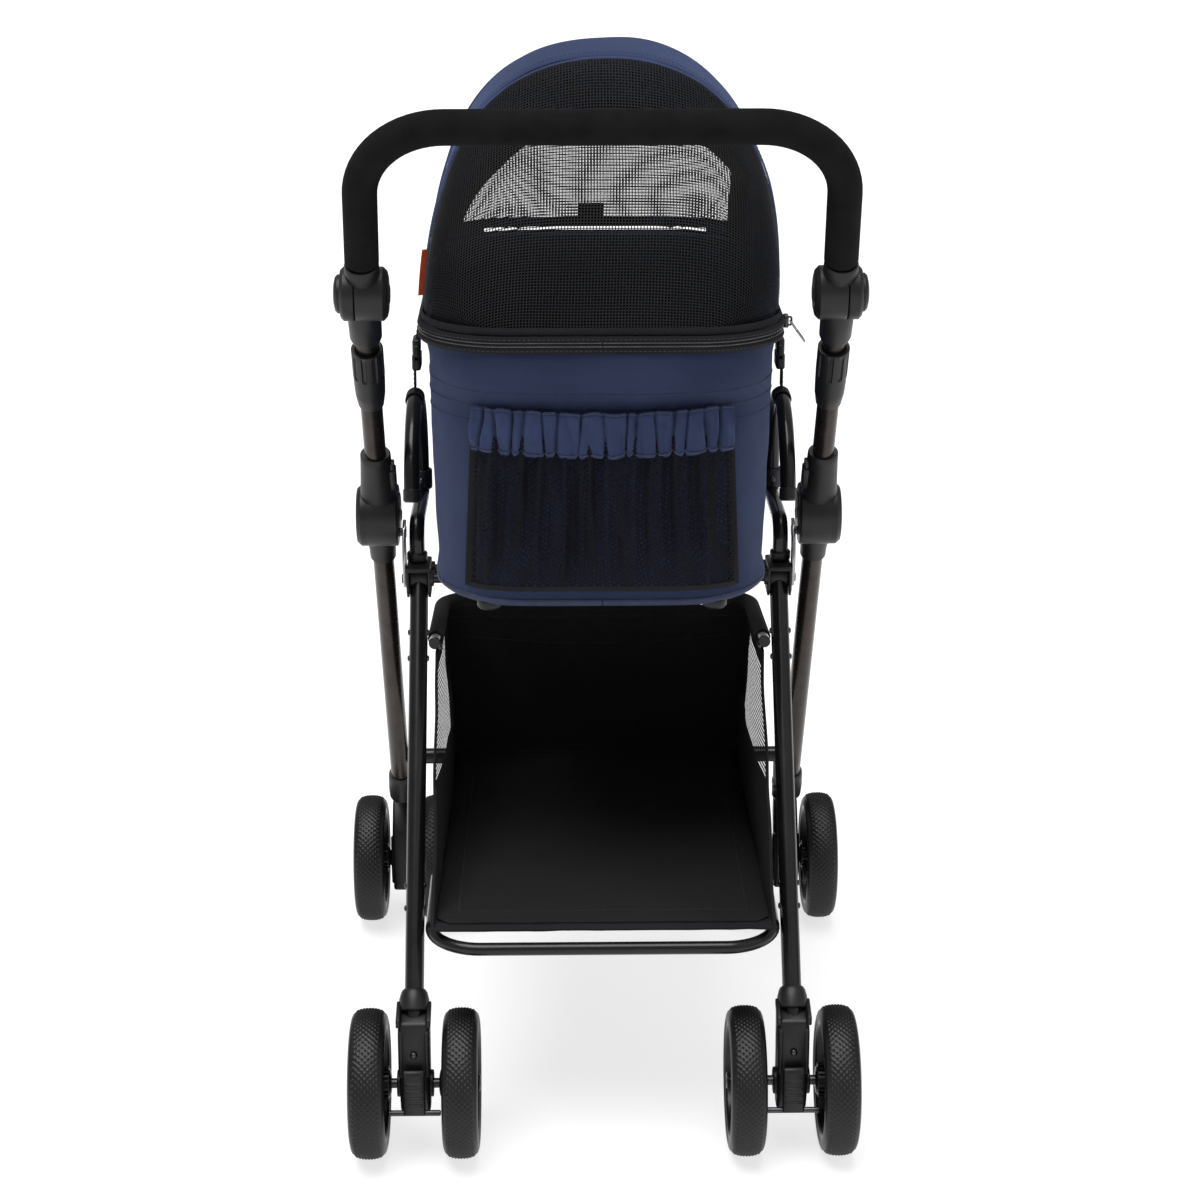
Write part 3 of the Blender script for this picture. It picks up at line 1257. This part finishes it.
def tub():
    """The cloth shell with its inner wall, the piping round its foot, and three lines of stitching."""
    rows = []
    for inset, z in ((0.06, 0), (0.012, 0.0), (0.004, 0.0020), (0.0012, 0.0065)):
        hangs = inset < 0.05
        rows.append([
            point - Z_AXIS * floor_sag(point, outward) * hangs for point, outward in plan(-inset, BOTTOM + z)
        ])
    steps = 44
    for i in range(1, steps):
        z = BOTTOM + 0.010 + (RIM - BOTTOM - 0.014) * i / steps
        rows.append([tub_point(point, outward, z) for point, outward in plan(0, z)])
    for inset, z in (
        (0, RIM - 0.0015), (WALL / 2, RIM), (WALL, RIM - 0.0015), (WALL, 0.75), (WALL, 0.65),
        (WALL, BOTTOM + WALL), (0.06, BOTTOM + WALL),
    ):
        rows.append(ring(-inset, z))
    shell = surface("tub_shell", rows, TUB_CLOTH, capped=True, crease=60)
    fit(shell, "carrier", "navy_cloth", "carrier_tub")
    route = []
    for point, outward in plan(0, BOTTOM + 0.0024):
        inset = 0.0020 + 0.0030 * outward.x ** 2
        route.append(point - outward * inset - Z_AXIS * floor_sag(point, outward))
    fit(tube("tub_piping", route, 0.0036, NAVY_THREAD, 12), "carrier", "navy_cloth")
    lines = []
    for z, dip in ((0.7700, 0.0040), (0.7545, 0.0040), (0.7385, 0.0035)):
        route, normals = [], []
        for point, outward in plan(0, z, 336):
            sag = dip * max(1 - (point.x / 0.15) ** 2, 0) if point.y < -0.1 else 0
            place = tub_point(Vector((point.x, point.y, z - sag)), outward, z - sag)
            route.append(place + outward * 0.0003)
            normals.append(outward)
        lines.append(stitches("line", route, normals, NAVY_THREAD, 0.0030, 0.0012, 0.00045))
    fit(merge("tub_stitching", lines), "carrier", "navy_cloth")


SEAM_X = 0.055
PUFF = 0.005


def puff_up(mat, low, high):
    """Swells the mat with a cloth simulation, within limits, and draws it in along its two seams."""
    remesh = mat.modifiers.new("remesh", "REMESH")
    remesh.mode = "VOXEL"
    remesh.voxel_size = 0.006
    bake(mat)
    before = [vertex.co.copy() for vertex in mat.data.vertices]
    cloth = mat.modifiers.new("cloth", "CLOTH")
    cloth.settings.use_pressure = True
    cloth.settings.uniform_pressure_force = 3.0
    cloth.settings.effector_weights.gravity = 0
    cloth.settings.quality = 4
    cloth.collision_settings.use_collision = False
    for step in range(1, 13):
        bpy.context.scene.frame_set(step)
    bake(mat)
    bpy.context.scene.frame_set(1)
    for vertex, start in zip(mat.data.vertices, before):
        moved = vertex.co - start
        if moved.length > PUFF:
            vertex.co = start + moved.normalized() * PUFF
        vertex.co.z = clamp(vertex.co.z, low, high + 0.002)
        near = min(abs(vertex.co.x - line) for line in (-SEAM_X, SEAM_X))
        if start.z > (low + high) / 2:
            vertex.co.z -= PUFF * math.exp(-((near / 0.006) ** 2))


def cushion():
    """A padded mat on the tub's floor."""
    low, high = span("cushion")
    rows = []
    for inset, z in (
        (0.05, low.z), (0.004, low.z + 0.001), (0.001, low.z + 0.006), (0.001, high.z - 0.010),
        (0.006, high.z - 0.005), (0.05, high.z - 0.004),
    ):
        rows.append(ring(-WALL - 0.005 - inset, z, 96))
    mat = surface("cushion_pad", rows, NAVY_CLOTH, capped=True, crease=80)
    puff_up(mat, low.z, high.z)
    finish_mesh(mat, NAVY_CLOTH, 80)
    fit(mat, "carrier", "navy_cloth", "cushion")


def carrier_base():
    """The stiff board, its ribs on the rods, and two round feet."""
    low, high = span("carrier_base")
    top = high.z
    rows = []
    for inset, z in (
        (0.03, top - 0.007), (0.0155, top - 0.007), (0.0142, top - 0.0055), (0.0142, top - 0.001), (0.03, top),
    ):
        rows.append(ring(-inset, z, 120))
    parts = [surface("board", rows, PLASTIC, capped=True, crease=50)]
    profile = rounded([
        (0, top - 0.013), (0.0095, top - 0.013), (0.0120, top - 0.0105), (0.0120, top - 0.004), (0, top - 0.004),
    ], 0.001, 2)
    for word, side in SIDES:
        parts.append(turned("foot", profile, PLASTIC, Matrix.Translation((side * 0.110, -0.182, 0)), 32))
        start, end = sorted((side * 0.090, side * 0.120))
        parts.append(block("rib", (start, -0.032, low.z), (end, 0.036, top - 0.004), PLASTIC, 0.003))
    fit(merge("base_board", parts), "carrier", "black_plastic", "carrier_base")


# ---- rear pocket ----
POCKET_HALF = span("rear_pocket")[1].x


def back_wall(x, z):
    """The back of the tub at a place across and up, and its outward direction."""
    scale = TAPER + (1 - TAPER) * (z - BOTTOM) / (RIM - BOTTOM)
    over = max(abs(x / scale) - (HALF_X - CORNER), 0)
    y = HALF_Y - CORNER + math.sqrt(max(CORNER ** 2 - over ** 2, 0))
    outward = Vector((math.copysign(over / CORNER, x), -math.sqrt(max(1 - (over / CORNER) ** 2, 0)), 0))
    base = Vector((x, TUB_MIDDLE.y - y * scale, z))
    return base + outward * back_swell(z, outward), outward


def wall_normals(route):
    return [back_wall(point.x, point.z)[1] for point in route]


def pocket():
    """A gathered net panel hemmed at the sides and foot, under a puffed ruffle that is drawn in by elastic."""
    low, high = span("rear_pocket")
    folds = 11
    steps, across = 34, 132
    top = high.z - 0.028
    rows = []
    for i in range(steps + 1):
        share = i / steps
        z = low.z - 0.004 + (top - low.z + 0.008) * share
        half = POCKET_HALF + 0.006 - 0.008 * share
        hang = 0.10 + 0.90 * min(share / 0.30, 1) ** 0.7 - 0.35 * max(share - 0.8, 0) / 0.2
        row = []
        for k in range(across + 1):
            u = 2 * k / across - 1
            x = u * half
            base, outward = back_wall(x, z)
            fold = 0.5 + 0.5 * math.sin(math.pi * folds * u + 1.3 * soft_noise((x, 0, z), 9, 2))
            finer = 0.5 + 0.5 * math.sin(math.pi * 1.7 * folds * u + 2.5 * soft_noise((x, 0, z), 14, 6))
            fold = 0.65 * fold + 0.35 * finer
            edge = 1 - max(abs(u) - 0.93, 0) / 0.07
            row.append(base + outward * (0.0056 + edge * (0.0012 + 0.0105 * fold ** 1.4 * hang)))
        rows.append(row)
    net = surface("pocket_net_panel", rows, POCKET_NET, crease=80)
    fit(net, "carrier", "black_mesh", "rear_pocket")
    edges = []
    for column, way in ((0, 1), (-1, -1)):
        route = [row[column] for row in rows]
        normals = wall_normals(route)
        inward = X_AXIS * way
        left = [point - inward * 0.003 + normal * 0.0002 for point, normal in zip(route, normals)]
        right = [point + inward * 0.007 + normal * 0.0012 for point, normal in zip(route, normals)]
        edges.append(strip("side", left, right, normals, 0.0016, BINDING))
    foot = rows[0]
    normals = wall_normals(foot)
    hem = [point + normal * 0.0004 for point, normal in zip(foot, normals)]
    left, right = [[point + Z_AXIS * rise for point in hem] for rise in (-0.0015, 0.0035)]
    edges.append(strip("foot", left, right, normals, 0.0012, BINDING))
    fit(merge("pocket_binding", edges), "carrier", "black_mesh")
    ruffle(top, high.z)


CREASES = (-0.93, -0.83, -0.71, -0.63, -0.47, -0.36, -0.18, 0.015, 0.19, 0.26, 0.42, 0.56, 0.66, 0.80, 0.90)
CREASE_LEANS = (0.030, -0.024, 0.012)
CREASE_WIDTHS = (0.010, 0.016, 0.012, 0.020)
CREASE_DROPS = (0.0034, 0.0022, 0.0044)


def creased(u, share):
    """How far the ruffle is pinched in at a place across and up, and how far its edge is drawn down there."""
    pinch, drop = 0.0, 0.0
    reaches = (0.55 + 0.45 * share, 1.0 - 0.5 * share, 1.0)
    for rank, crease in enumerate(CREASES):
        lean = CREASE_LEANS[rank % 3] * (share - 0.5)
        near = math.exp(-(((u - crease - lean) / CREASE_WIDTHS[rank % 4]) ** 2))
        pinch = max(pinch, near * reaches[rank % 3])
        drop += near * CREASE_DROPS[rank % 3]
    return pinch, drop


def ruffle(low, high):
    """A gathered band: flat stretches, then tight creases, with a scalloped head and foot."""
    rows = []
    steps, across = 28, 320
    for i in range(steps + 1):
        share = i / steps
        body = 0.35 + 0.65 * math.sin(math.pi * share) ** 0.6
        row = []
        for k in range(across + 1):
            u = 2 * k / across - 1
            x = u * (POCKET_HALF - 0.002)
            pinch, drop = creased(u, share)
            roll = 0.0030 * soft_noise((u * 9, share * 1.5, 0), 1.0, 8)
            phase = 34 * u + 5 * share + 3 * soft_noise((u * 4, share, 0), 1.0, 3)
            wrinkle = 0.0016 * math.sin(phase) * body
            fine = 0.0012 * soft_noise((u * 30, share * 4, 0), 1.0, 5)
            centre_dip = 0.006 * math.sin(math.pi * (u + 1) / 2)
            z = low - 0.012 + (high - low + 0.017) * share - centre_dip
            z += drop * (0.6 - share) * 1.6 + 0.0020 * soft_noise((u * 7, share * 0.4, 0), 1.0, 3)
            base, outward = back_wall(x, z)
            depth = 0.0080 + 0.0085 * body * (1 - pinch) + roll * (1 - pinch) + wrinkle + fine
            row.append(base + outward * depth)
        rows.append(row)
    band = surface("pocket_ruffle", rows, NAVY_CLOTH, crease=80)
    solidify(band, 0.0016)
    fit(band, "carrier", "navy_cloth")
    edges = []
    for rank, size in ((2, 0.0010), (-2, 0.0007)):
        line = rows[rank]
        route = [point + normal * 0.0008 for point, normal in zip(line, wall_normals(line))]
        edges.append(tube("ruffle_edge", route, size, NAVY_THREAD, 10))
    fit(merge("ruffle_piping", edges), "carrier", "navy_cloth")


# ---- zip round the rim ----
def zip_band():
    """The tape, the zip's two coils in its groove, and a line of stitching above and below."""
    low, high = span("zip_band")
    foot, top = low.z, high.z
    profile = (
        (0.0010, foot), (0.0038, foot + 0.0004), (0.0050, foot + 0.0022), (0.0050, foot + 0.0048),
        (0.0034, foot + 0.0066), (0.0030, foot + 0.0082), (0.0036, foot + 0.0088), (0.0036, foot + 0.0100),
        (0.0030, foot + 0.0106), (0.0034, foot + 0.0120), (0.0050, foot + 0.0136), (0.0050, top - 0.0014),
        (0.0036, top), (0.0008, top),
    )
    tape = [ring(offset, z, 240) for offset, z in profile]
    parts = [surface("zip_tape", tape, BINDING, crease=60)]
    for z in (foot + 0.0076, foot + 0.0112):
        route = []
        for k, (point, outward) in enumerate(plan(0.0037, z, 960)):
            route.append(point + outward * 0.00035 * math.sin(math.pi * k))
        parts.append(tube("coil", route, 0.00075, COIL, 8))
    for z in (foot + 0.0034, top - 0.0026):
        points, normals = zip(*plan(0.0052, z, 480))
        parts.append(stitches("line", points, normals, BLACK_THREAD, 0.003, 0.0016, 0.0003))
    fit(merge("zip_tape", parts), "carrier", "black_cloth", "zip_band")


def zip_slider():
    """The slider's body and bridge, and a pull of two wire loops."""
    low, high = span("zip_slider")
    x, y, top = low.x, middle("zip_slider").y, high.z
    inner, outer = x + 0.0045, x + 0.0082
    low_corner, high_corner = (x, y - 0.0055, top - 0.013), (x + 0.0052, y + 0.0055, top - 0.0005)
    parts = [block("body", low_corner, high_corner, DARK_STEEL, 0.0014)]
    foot, head = top - 0.011, top - 0.003
    bridge = [(inner, y, foot), (outer, y, foot), (outer, y, head), (inner, y, head)]
    parts.append(tube("bridge", rounded(bridge, 0.002, 4), 0.0011, DARK_STEEL, 12))
    root = Vector((x + 0.0072, y, top - 0.0075))
    out = Vector((0.58, 0.05, -0.81)).normalized()
    for start, end, half in ((0.0, 0.010, 0.0034), (0.009, 0.024, 0.0048)):
        corners = []
        for along, across in ((start, 0), (start, half), (end, half), (end, -half), (start, -half), (start, 0)):
            corners.append(root + out * along + Y_AXIS * across)
        parts.append(tube("loop", rounded(corners, 0.003, 5), 0.0010, STEEL, 10))
    fit(merge("zip_pull", parts), "zip_slider", "steel", "zip_slider")


# ---- side straps ----
STRAP_HALF = 0.011


def webbing(name, route, normals, thickness):
    """A strap as wide as all the side straps, along a route."""
    edge = Y_AXIS * STRAP_HALF
    left, right = [point - edge for point in route], [point + edge for point in route]
    return strip(name, left, right, normals, thickness, WEBBING)


def side_strap(word, side):
    """The strap from the rim down to the arch with its buckle, and the loop round the arch."""
    node_name = f"side_strap_{word}"
    low, high = span(node_name)
    y = middle(node_name).y
    top = Vector((side * (HALF_X + 0.0075), y, high.z - 0.001))
    foot = Vector((side * 0.1885, y, low.z))
    count = 24
    route = []
    for k in range(count + 1):
        point = top.lerp(foot, k / count)
        point.x += side * 0.003 * math.sin(math.pi * k / count)
        route.append(point)
    out = Vector((side, 0, 0.06)).normalized()
    normals = [out] * len(route)
    parts = [webbing("web", route, normals, 0.0017)]
    for offset in (-0.0085, 0.0085):
        line = [point + Vector((0, offset, 0)) + out * 0.0018 for point in route]
        parts.append(stitches("line", line, normals, BLACK_THREAD, 0.003, 0.0016, 0.0003))
    x, z = route[count // 2].x, low.z + (high.z - low.z) * 0.42
    for shift, tall, wide, thick in ((0.0085, 0.008, 0.0135, 0.0040), (-0.0075, 0.0085, 0.0145, 0.0046)):
        low_corner, high_corner = (x - thick, y - wide, z + shift - tall), (x + thick, y + wide, z + shift + tall)
        parts.append(block("buckle", low_corner, high_corner, PLASTIC, 0.0024))
    for way in (-1, 1):
        centre_y = y + way * 0.0125
        low_corner = (x - 0.003, centre_y - 0.002, z - 0.006)
        parts.append(block("catch", low_corner, (x + 0.003, centre_y + 0.002, z + 0.010), PLASTIC, 0.0012))
    fit(merge(f"strap_{word}", parts), "carrier", "black_plastic", node_name)

    centre = Vector((side * ARCH_X, y, span(f"arch_tube_{word}")[1].z - ARCH_TUBE))
    radius = ARCH_TUBE + 0.0004
    loop = []
    for k in range(count + 1):
        angle = math.radians(-30 + 240 * k / count)
        loop.append(centre + Vector((radius * math.cos(angle), 0, radius * math.sin(angle))))
    normals = [(point - centre).normalized() for point in loop]
    fit(webbing(f"strap_loop_{word}", loop, normals, 0.0013), "frame", "black_plastic")


# ---- hood ----
HOOD_LOW = span("hood_canopy")[0].z
HOOD_TOP = span("hood_canopy")[1].z
HOOD_BACK = span("hood_rear_mesh")[0].y
HOOD_FRONT = span("hood_canopy")[1].y
HOOD_APEX_Y = 0.040
BOW_FOOT_Y = -0.096
BOW_TILT = 0.046 / 0.2775
CROWN_SEAM = (0.035, 0.30)
HOOD_SWAY = 0.0060
CROWN_LIFT = 0.003
FRONT_POWER = 1.65
WINDOW_HALF = 0.1605
WINDOW_FOOT = HOOD_LOW + 0.010
WINDOW_TALL = 0.135
WINDOW_POWER = 1.05
WINDOW_SHIFT = 0.0025
WINDOW_SKEW = 0.020
WINDOW_EDGE = 0.156
WINDOW_BACK = 0.14


def plan_half(y):
    """Half the rim's width at a place along it."""
    over = max(abs(y - TUB_MIDDLE.y) - (HALF_Y - CORNER), 0)
    return HALF_X - CORNER + math.sqrt(max(CORNER ** 2 - over ** 2, 0))


def hood_rise(y):
    """How high the dome stands over its base: a straight back, a low crown and a rounded front."""
    full = HOOD_TOP + CROWN_LIFT - HOOD_LOW
    if y > HOOD_APEX_Y:
        share = min((y - HOOD_APEX_Y) / (HOOD_FRONT - HOOD_APEX_Y), 1)
        return full * (1 - share ** FRONT_POWER) ** (1 / FRONT_POWER)
    crown = full - 0.0135 * ((HOOD_APEX_Y - y) / 0.116) ** 2
    back = (y - HOOD_BACK) * 1.74
    soft = 0.007
    return max(min(crown, back) - max(soft - abs(crown - back), 0) ** 2 / (4 * soft), 0)


def fullness(rise):
    """The exponent of the dome's cross-section: fuller where the dome is low."""
    return 2.4 + 1.4 * max(1 - rise / (HOOD_TOP - HOOD_LOW), 0)


def sway(z):
    """The cloth dome leans a little to one side, more so above its lower third."""
    return HOOD_SWAY * clamp((z - HOOD_LOW) / 0.12, 0, 1)


def hood_point(y, angle, lift=0.0):
    """The dome at a place along it and an angle round it, from the right-hand base over the top."""
    rise = hood_rise(y) + lift
    half = plan_half(y) + lift
    power = 2 / fullness(rise)
    x = half * math.copysign(abs(math.cos(angle)) ** power, math.cos(angle))
    z = HOOD_LOW + rise * abs(math.sin(angle)) ** power
    return Vector((x + sway(z), y, z))


def bow_point(angle, shift, lift=0.0, foot=BOW_FOOT_Y, tilt=BOW_TILT):
    """Where a bow's slanting plane, moved by shift, meets the dome."""
    y = foot + shift
    for _ in range(24):
        z = hood_point(y, angle, lift).z
        y += 0.6 * (foot + shift + tilt * (z - HOOD_LOW) - y)
    return hood_point(y, angle, lift)


def front_point(x, z, lift=0.0):
    """The front face of the dome at a place across and up."""
    low_y, high_y = HOOD_APEX_Y, HOOD_FRONT - 1e-5
    up = max(z - HOOD_LOW, 1e-5)
    beside = abs(x - sway(z))
    for _ in range(40):
        y = (low_y + high_y) / 2
        rise = max(hood_rise(y), 1e-6)
        exponent = fullness(rise)
        inside = (beside / plan_half(y)) ** exponent + (up / rise) ** exponent < 1
        low_y, high_y = (y, high_y) if inside else (low_y, y)
    outward = Vector((x * 0.6, 0.18, z - HOOD_LOW + 0.02)).normalized()
    return Vector((x, low_y, z)) + outward * lift


def dome_half(y, z):
    """Half the dome's width at a place along it and up."""
    rise = hood_rise(y)
    exponent = fullness(rise)
    return plan_half(y) * max(1 - (max(z - HOOD_LOW, 0) / rise) ** exponent, 0) ** (1 / exponent)


def window_middle(z):
    """The window's arch leans to the right as it rises."""
    return WINDOW_SHIFT + WINDOW_SKEW * clamp((z - WINDOW_FOOT) / (0.5 * WINDOW_TALL), 0, 1)


def window_point(angle, grow, lift):
    """The window's arched edge, grown by a distance, and lifted off the dome."""
    z = WINDOW_FOOT + (WINDOW_TALL + grow) * math.sin(angle) ** WINDOW_POWER
    x = (WINDOW_HALF + grow) * math.copysign(abs(math.cos(angle)) ** WINDOW_POWER, math.cos(angle))
    reach = min(WINDOW_EDGE + grow, dome_half(WINDOW_BACK, z))
    across = clamp(x + window_middle(z) - sway(z), -reach, reach)
    return front_point(sway(z) + across, z, lift)


def in_window(point):
    beside = abs(point.x - sway(point.z))
    if point.y < WINDOW_BACK or point.z < WINDOW_FOOT or beside > WINDOW_EDGE:
        return False
    up = (point.z - WINDOW_FOOT) / WINDOW_TALL
    across = abs(point.x - window_middle(point.z)) / WINDOW_HALF
    return across ** (2 / WINDOW_POWER) + up ** (2 / WINDOW_POWER) < 1


def dome():
    """The whole dome in one mesh, cut through where the bow crosses it; also the cut's origin and normal."""
    rows = []
    count, around = 108, 100
    for i in range(count + 1):
        share = 0.5 - 0.5 * math.cos(math.pi * i / count)
        y = HOOD_BACK + 0.0004 + (HOOD_FRONT - HOOD_BACK - 0.0008) * (0.35 * i / count + 0.65 * share)
        row = []
        for k in range(around + 1):
            angle = math.pi * k / around
            point = hood_point(y, angle)
            point.z += 0.0022 * soft_noise((point.x, y * 0.6, point.z), 13, 2) * math.sin(angle)
            row.append(point)
        rows.append(row)
    whole = surface("hood_whole", rows, NAVY_CLOTH, crease=80)
    mesh = bmesh.new()
    mesh.from_mesh(whole.data)
    origin = Vector((0, BOW_FOOT_Y, HOOD_LOW))
    normal = Vector((0, 1, -BOW_TILT)).normalized()
    everything = mesh.verts[:] + mesh.edges[:] + mesh.faces[:]
    bmesh.ops.bisect_plane(mesh, geom=everything, plane_co=origin, plane_no=normal)
    mesh.to_mesh(whole.data)
    mesh.free()
    return whole, origin, normal


def hood():
    """The canopy, the net behind the bow and the net in the window, all cut from one dome."""
    whole, origin, normal = dome()
    kinds = {"rear": [], "window": [], "canopy": [], "gap": []}
    for face in whole.data.polygons:
        centre = face.center
        if (centre - origin).dot(normal) < 0:
            kinds["rear"].append(face.index)
        elif in_window(centre):
            kinds["window"].append(face.index)
        elif centre.z < HOOD_LOW + 0.0036 and centre.y > 0.24:
            kinds["gap"].append(face.index)
        else:
            kinds["canopy"].append(face.index)
    canopy = keep_faces("canopy_sheet", whole, kinds["canopy"], NAVY_CLOTH)
    rear = keep_faces("rear_net_sheet", whole, kinds["rear"], HOOD_NET)
    window = keep_faces("window_net_sheet", whole, kinds["window"], WINDOW_NET)
    bpy.data.objects.remove(whole)
    threads_along(window, X_AXIS, Vector((0, -0.54, 0.84)))
    solidify(canopy, 0.0016)
    fit(canopy, "hood", "navy_cloth", "hood_canopy")
    fit(rear, "hood", "black_mesh", "hood_rear_mesh")
    fit(window, "hood", "black_mesh")


def threads_along(obj, across, along):
    """Lays the cloth's threads straight along two directions."""
    layer = obj.data.uv_layers[0].data
    for loop in obj.data.loops:
        point = obj.data.vertices[loop.vertex_index].co
        layer[loop.index].uv = (point.dot(across), point.dot(along))


def keep_faces(name, source, faces, material):
    """A copy of the source with only some of its faces."""
    obj = add_object(name, source.data.copy())
    kept = set(faces)
    mesh = bmesh.new()
    mesh.from_mesh(obj.data)
    mesh.faces.ensure_lookup_table()
    bmesh.ops.delete(mesh, geom=[face for face in mesh.faces if face.index not in kept], context="FACES")
    mesh.to_mesh(obj.data)
    mesh.free()
    obj.data.materials.clear()
    obj.data.materials.append(material)
    return obj


def bow_seams():
    """The hem where the bow crosses the dome, the seam over the crown, and their stitching."""
    angles = [math.pi * k / 120 for k in range(121)]
    hem, crown = [], []
    for shift, lift in (
        (0.006, 0.0004), (0.007, 0.0014), (0.009, 0.0022), (0.011, 0.0024), (0.013, 0.0022), (0.015, 0.0014),
        (0.016, 0.0002),
    ):
        hem.append([bow_point(angle, shift, lift) for angle in angles])
    parts = [surface("bow_hem", hem, NAVY_CLOTH, crease=60)]
    for shift, lift, foot, tilt in (
        (0.0148, 0.0022, BOW_FOOT_Y, BOW_TILT), (-0.004, 0.0016, *CROWN_SEAM), (0.004, 0.0016, *CROWN_SEAM),
    ):
        line = [bow_point(angle, shift, lift, foot, tilt) for angle in angles]
        normals = [(point - Vector((0, point.y, HOOD_LOW))).normalized() for point in line]
        parts.append(stitches("bow_stitch", line, normals, NAVY_THREAD, 0.003, 0.0014, 0.0004))
    for shift, lift in (
        (-0.007, 0.0002), (-0.006, 0.0010), (-0.001, 0.0014), (0.0, 0.0026), (0.001, 0.0014), (0.006, 0.0010),
        (0.007, 0.0002),
    ):
        crown.append([bow_point(angle, shift, lift, *CROWN_SEAM) for angle in angles])
    parts.append(surface("crown_seam", crown, NAVY_CLOTH, crease=60))
    fit(merge("bow_hem", parts), "hood", "navy_cloth")


def window_binding():
    """The binding round the window, outside and inside, and its sill."""
    angles = [math.pi * k / 96 for k in range(97)]
    parts = []
    outside = ((-0.009, 0.0004), (-0.008, 0.0022), (0.0, 0.0030), (0.009, 0.0022), (0.010, 0.0004))
    inside = ((-0.009, -0.0010), (-0.008, -0.0030), (0.009, -0.0030), (0.010, -0.0010))
    for name, edges in (("window_outside", outside), ("window_inside", inside)):
        rows = [[window_point(angle, grow, lift) for angle in angles] for grow, lift in edges]
        parts.append(surface(name, rows, BINDING, crease=60))
    reach = WINDOW_EDGE + 0.008
    sill = []
    for z, lift in ((0.0038, 0.0004), (0.0048, 0.0022), (0.0140, 0.0026), (0.0150, 0.0004)):
        sill.append([front_point(reach * math.cos(angle), HOOD_LOW + z, lift) for angle in angles])
    parts.append(surface("window_sill", sill, BINDING, crease=60))
    fit(merge("window_binding", parts), "hood", "black_cloth")


def front_strap():
    """A flat strap on the middle of the hood's front, under the window."""
    rows = []
    for across, lift in ((-0.0145, 0.0020), (-0.013, 0.0034), (0.013, 0.0034), (0.0145, 0.0020)):
        rows.append([front_point(across - 0.004, HOOD_LOW + 0.030 - 0.0036 * k, lift) for k in range(8)])
    fit(surface("front_strap", rows, WEBBING, crease=60), "hood", "black_cloth")


def hood_hem():
    """The hem along the dome's base, open at the front where the hinge is."""
    front = 0.262
    rows = []
    for lift, z in ((0.0002, 0.0), (0.0014, 0.0008), (0.0014, 0.0065), (0.0002, 0.0075)):
        row = [point + Vector((0, 0, z)) for point in ring(lift, HOOD_LOW, 240) if point.y < front]
        rows.append(sorted_open(row))
    fit(surface("hood_hem", rows, BINDING, crease=60), "hood", "black_cloth")


def sorted_open(row):
    """A ring that was cut open at the front, from one end of the cut round the back to the other."""
    jump = max(range(len(row) - 1), key=lambda i: (row[i + 1] - row[i]).length)
    return row[jump + 1:] + row[1:jump + 1]


def side_tab():
    """The plain tab that stands out of the bow's hem on the left."""
    rows = []
    for out, swing in (
        (0.0, 0.0), (0.003, 0.0006), (0.0052, 0.0008), (0.0056, 0.0), (0.0052, -0.0008), (0.003, -0.0006),
        (0.0, 0.0),
    ):
        column = []
        for k in range(9):
            at = bow_point(math.pi - 0.030 - 0.155 * k / 8, 0.004, 0.001)
            column.append(at + Vector((-out, swing - 0.4 * out, 0)))
        rows.append(column)
    fit(surface("side_tab", rows, TAB, crease=60), "hood", "navy_cloth")


# ---- build ----
stage()
for word, side in SIDES:
    leg_bar(f"front_leg_{word}", "frame", side)
    hub_inner(word, side)
    hub_outer(word, side)
    leg_bar(f"arm_tube_{word}", "handle_arms", side)
    release_collar(word, side)
    tilt_joint(word, side)
    caster(word, side)
    rear_leg(word, side)
    rear_unit(word, side)
    cradle_bracket(word, side)
    link_plate(word, side)
    arch(word, side)
handlebar()
wheels()
straight_bars()
hoops()
basket()
tub()
cushion()
carrier_base()
pocket()
zip_band()
zip_slider()
for word, side in SIDES:
    side_strap(word, side)
hood()
bow_seams()
window_binding()
front_strap()
hood_hem()
side_tab()
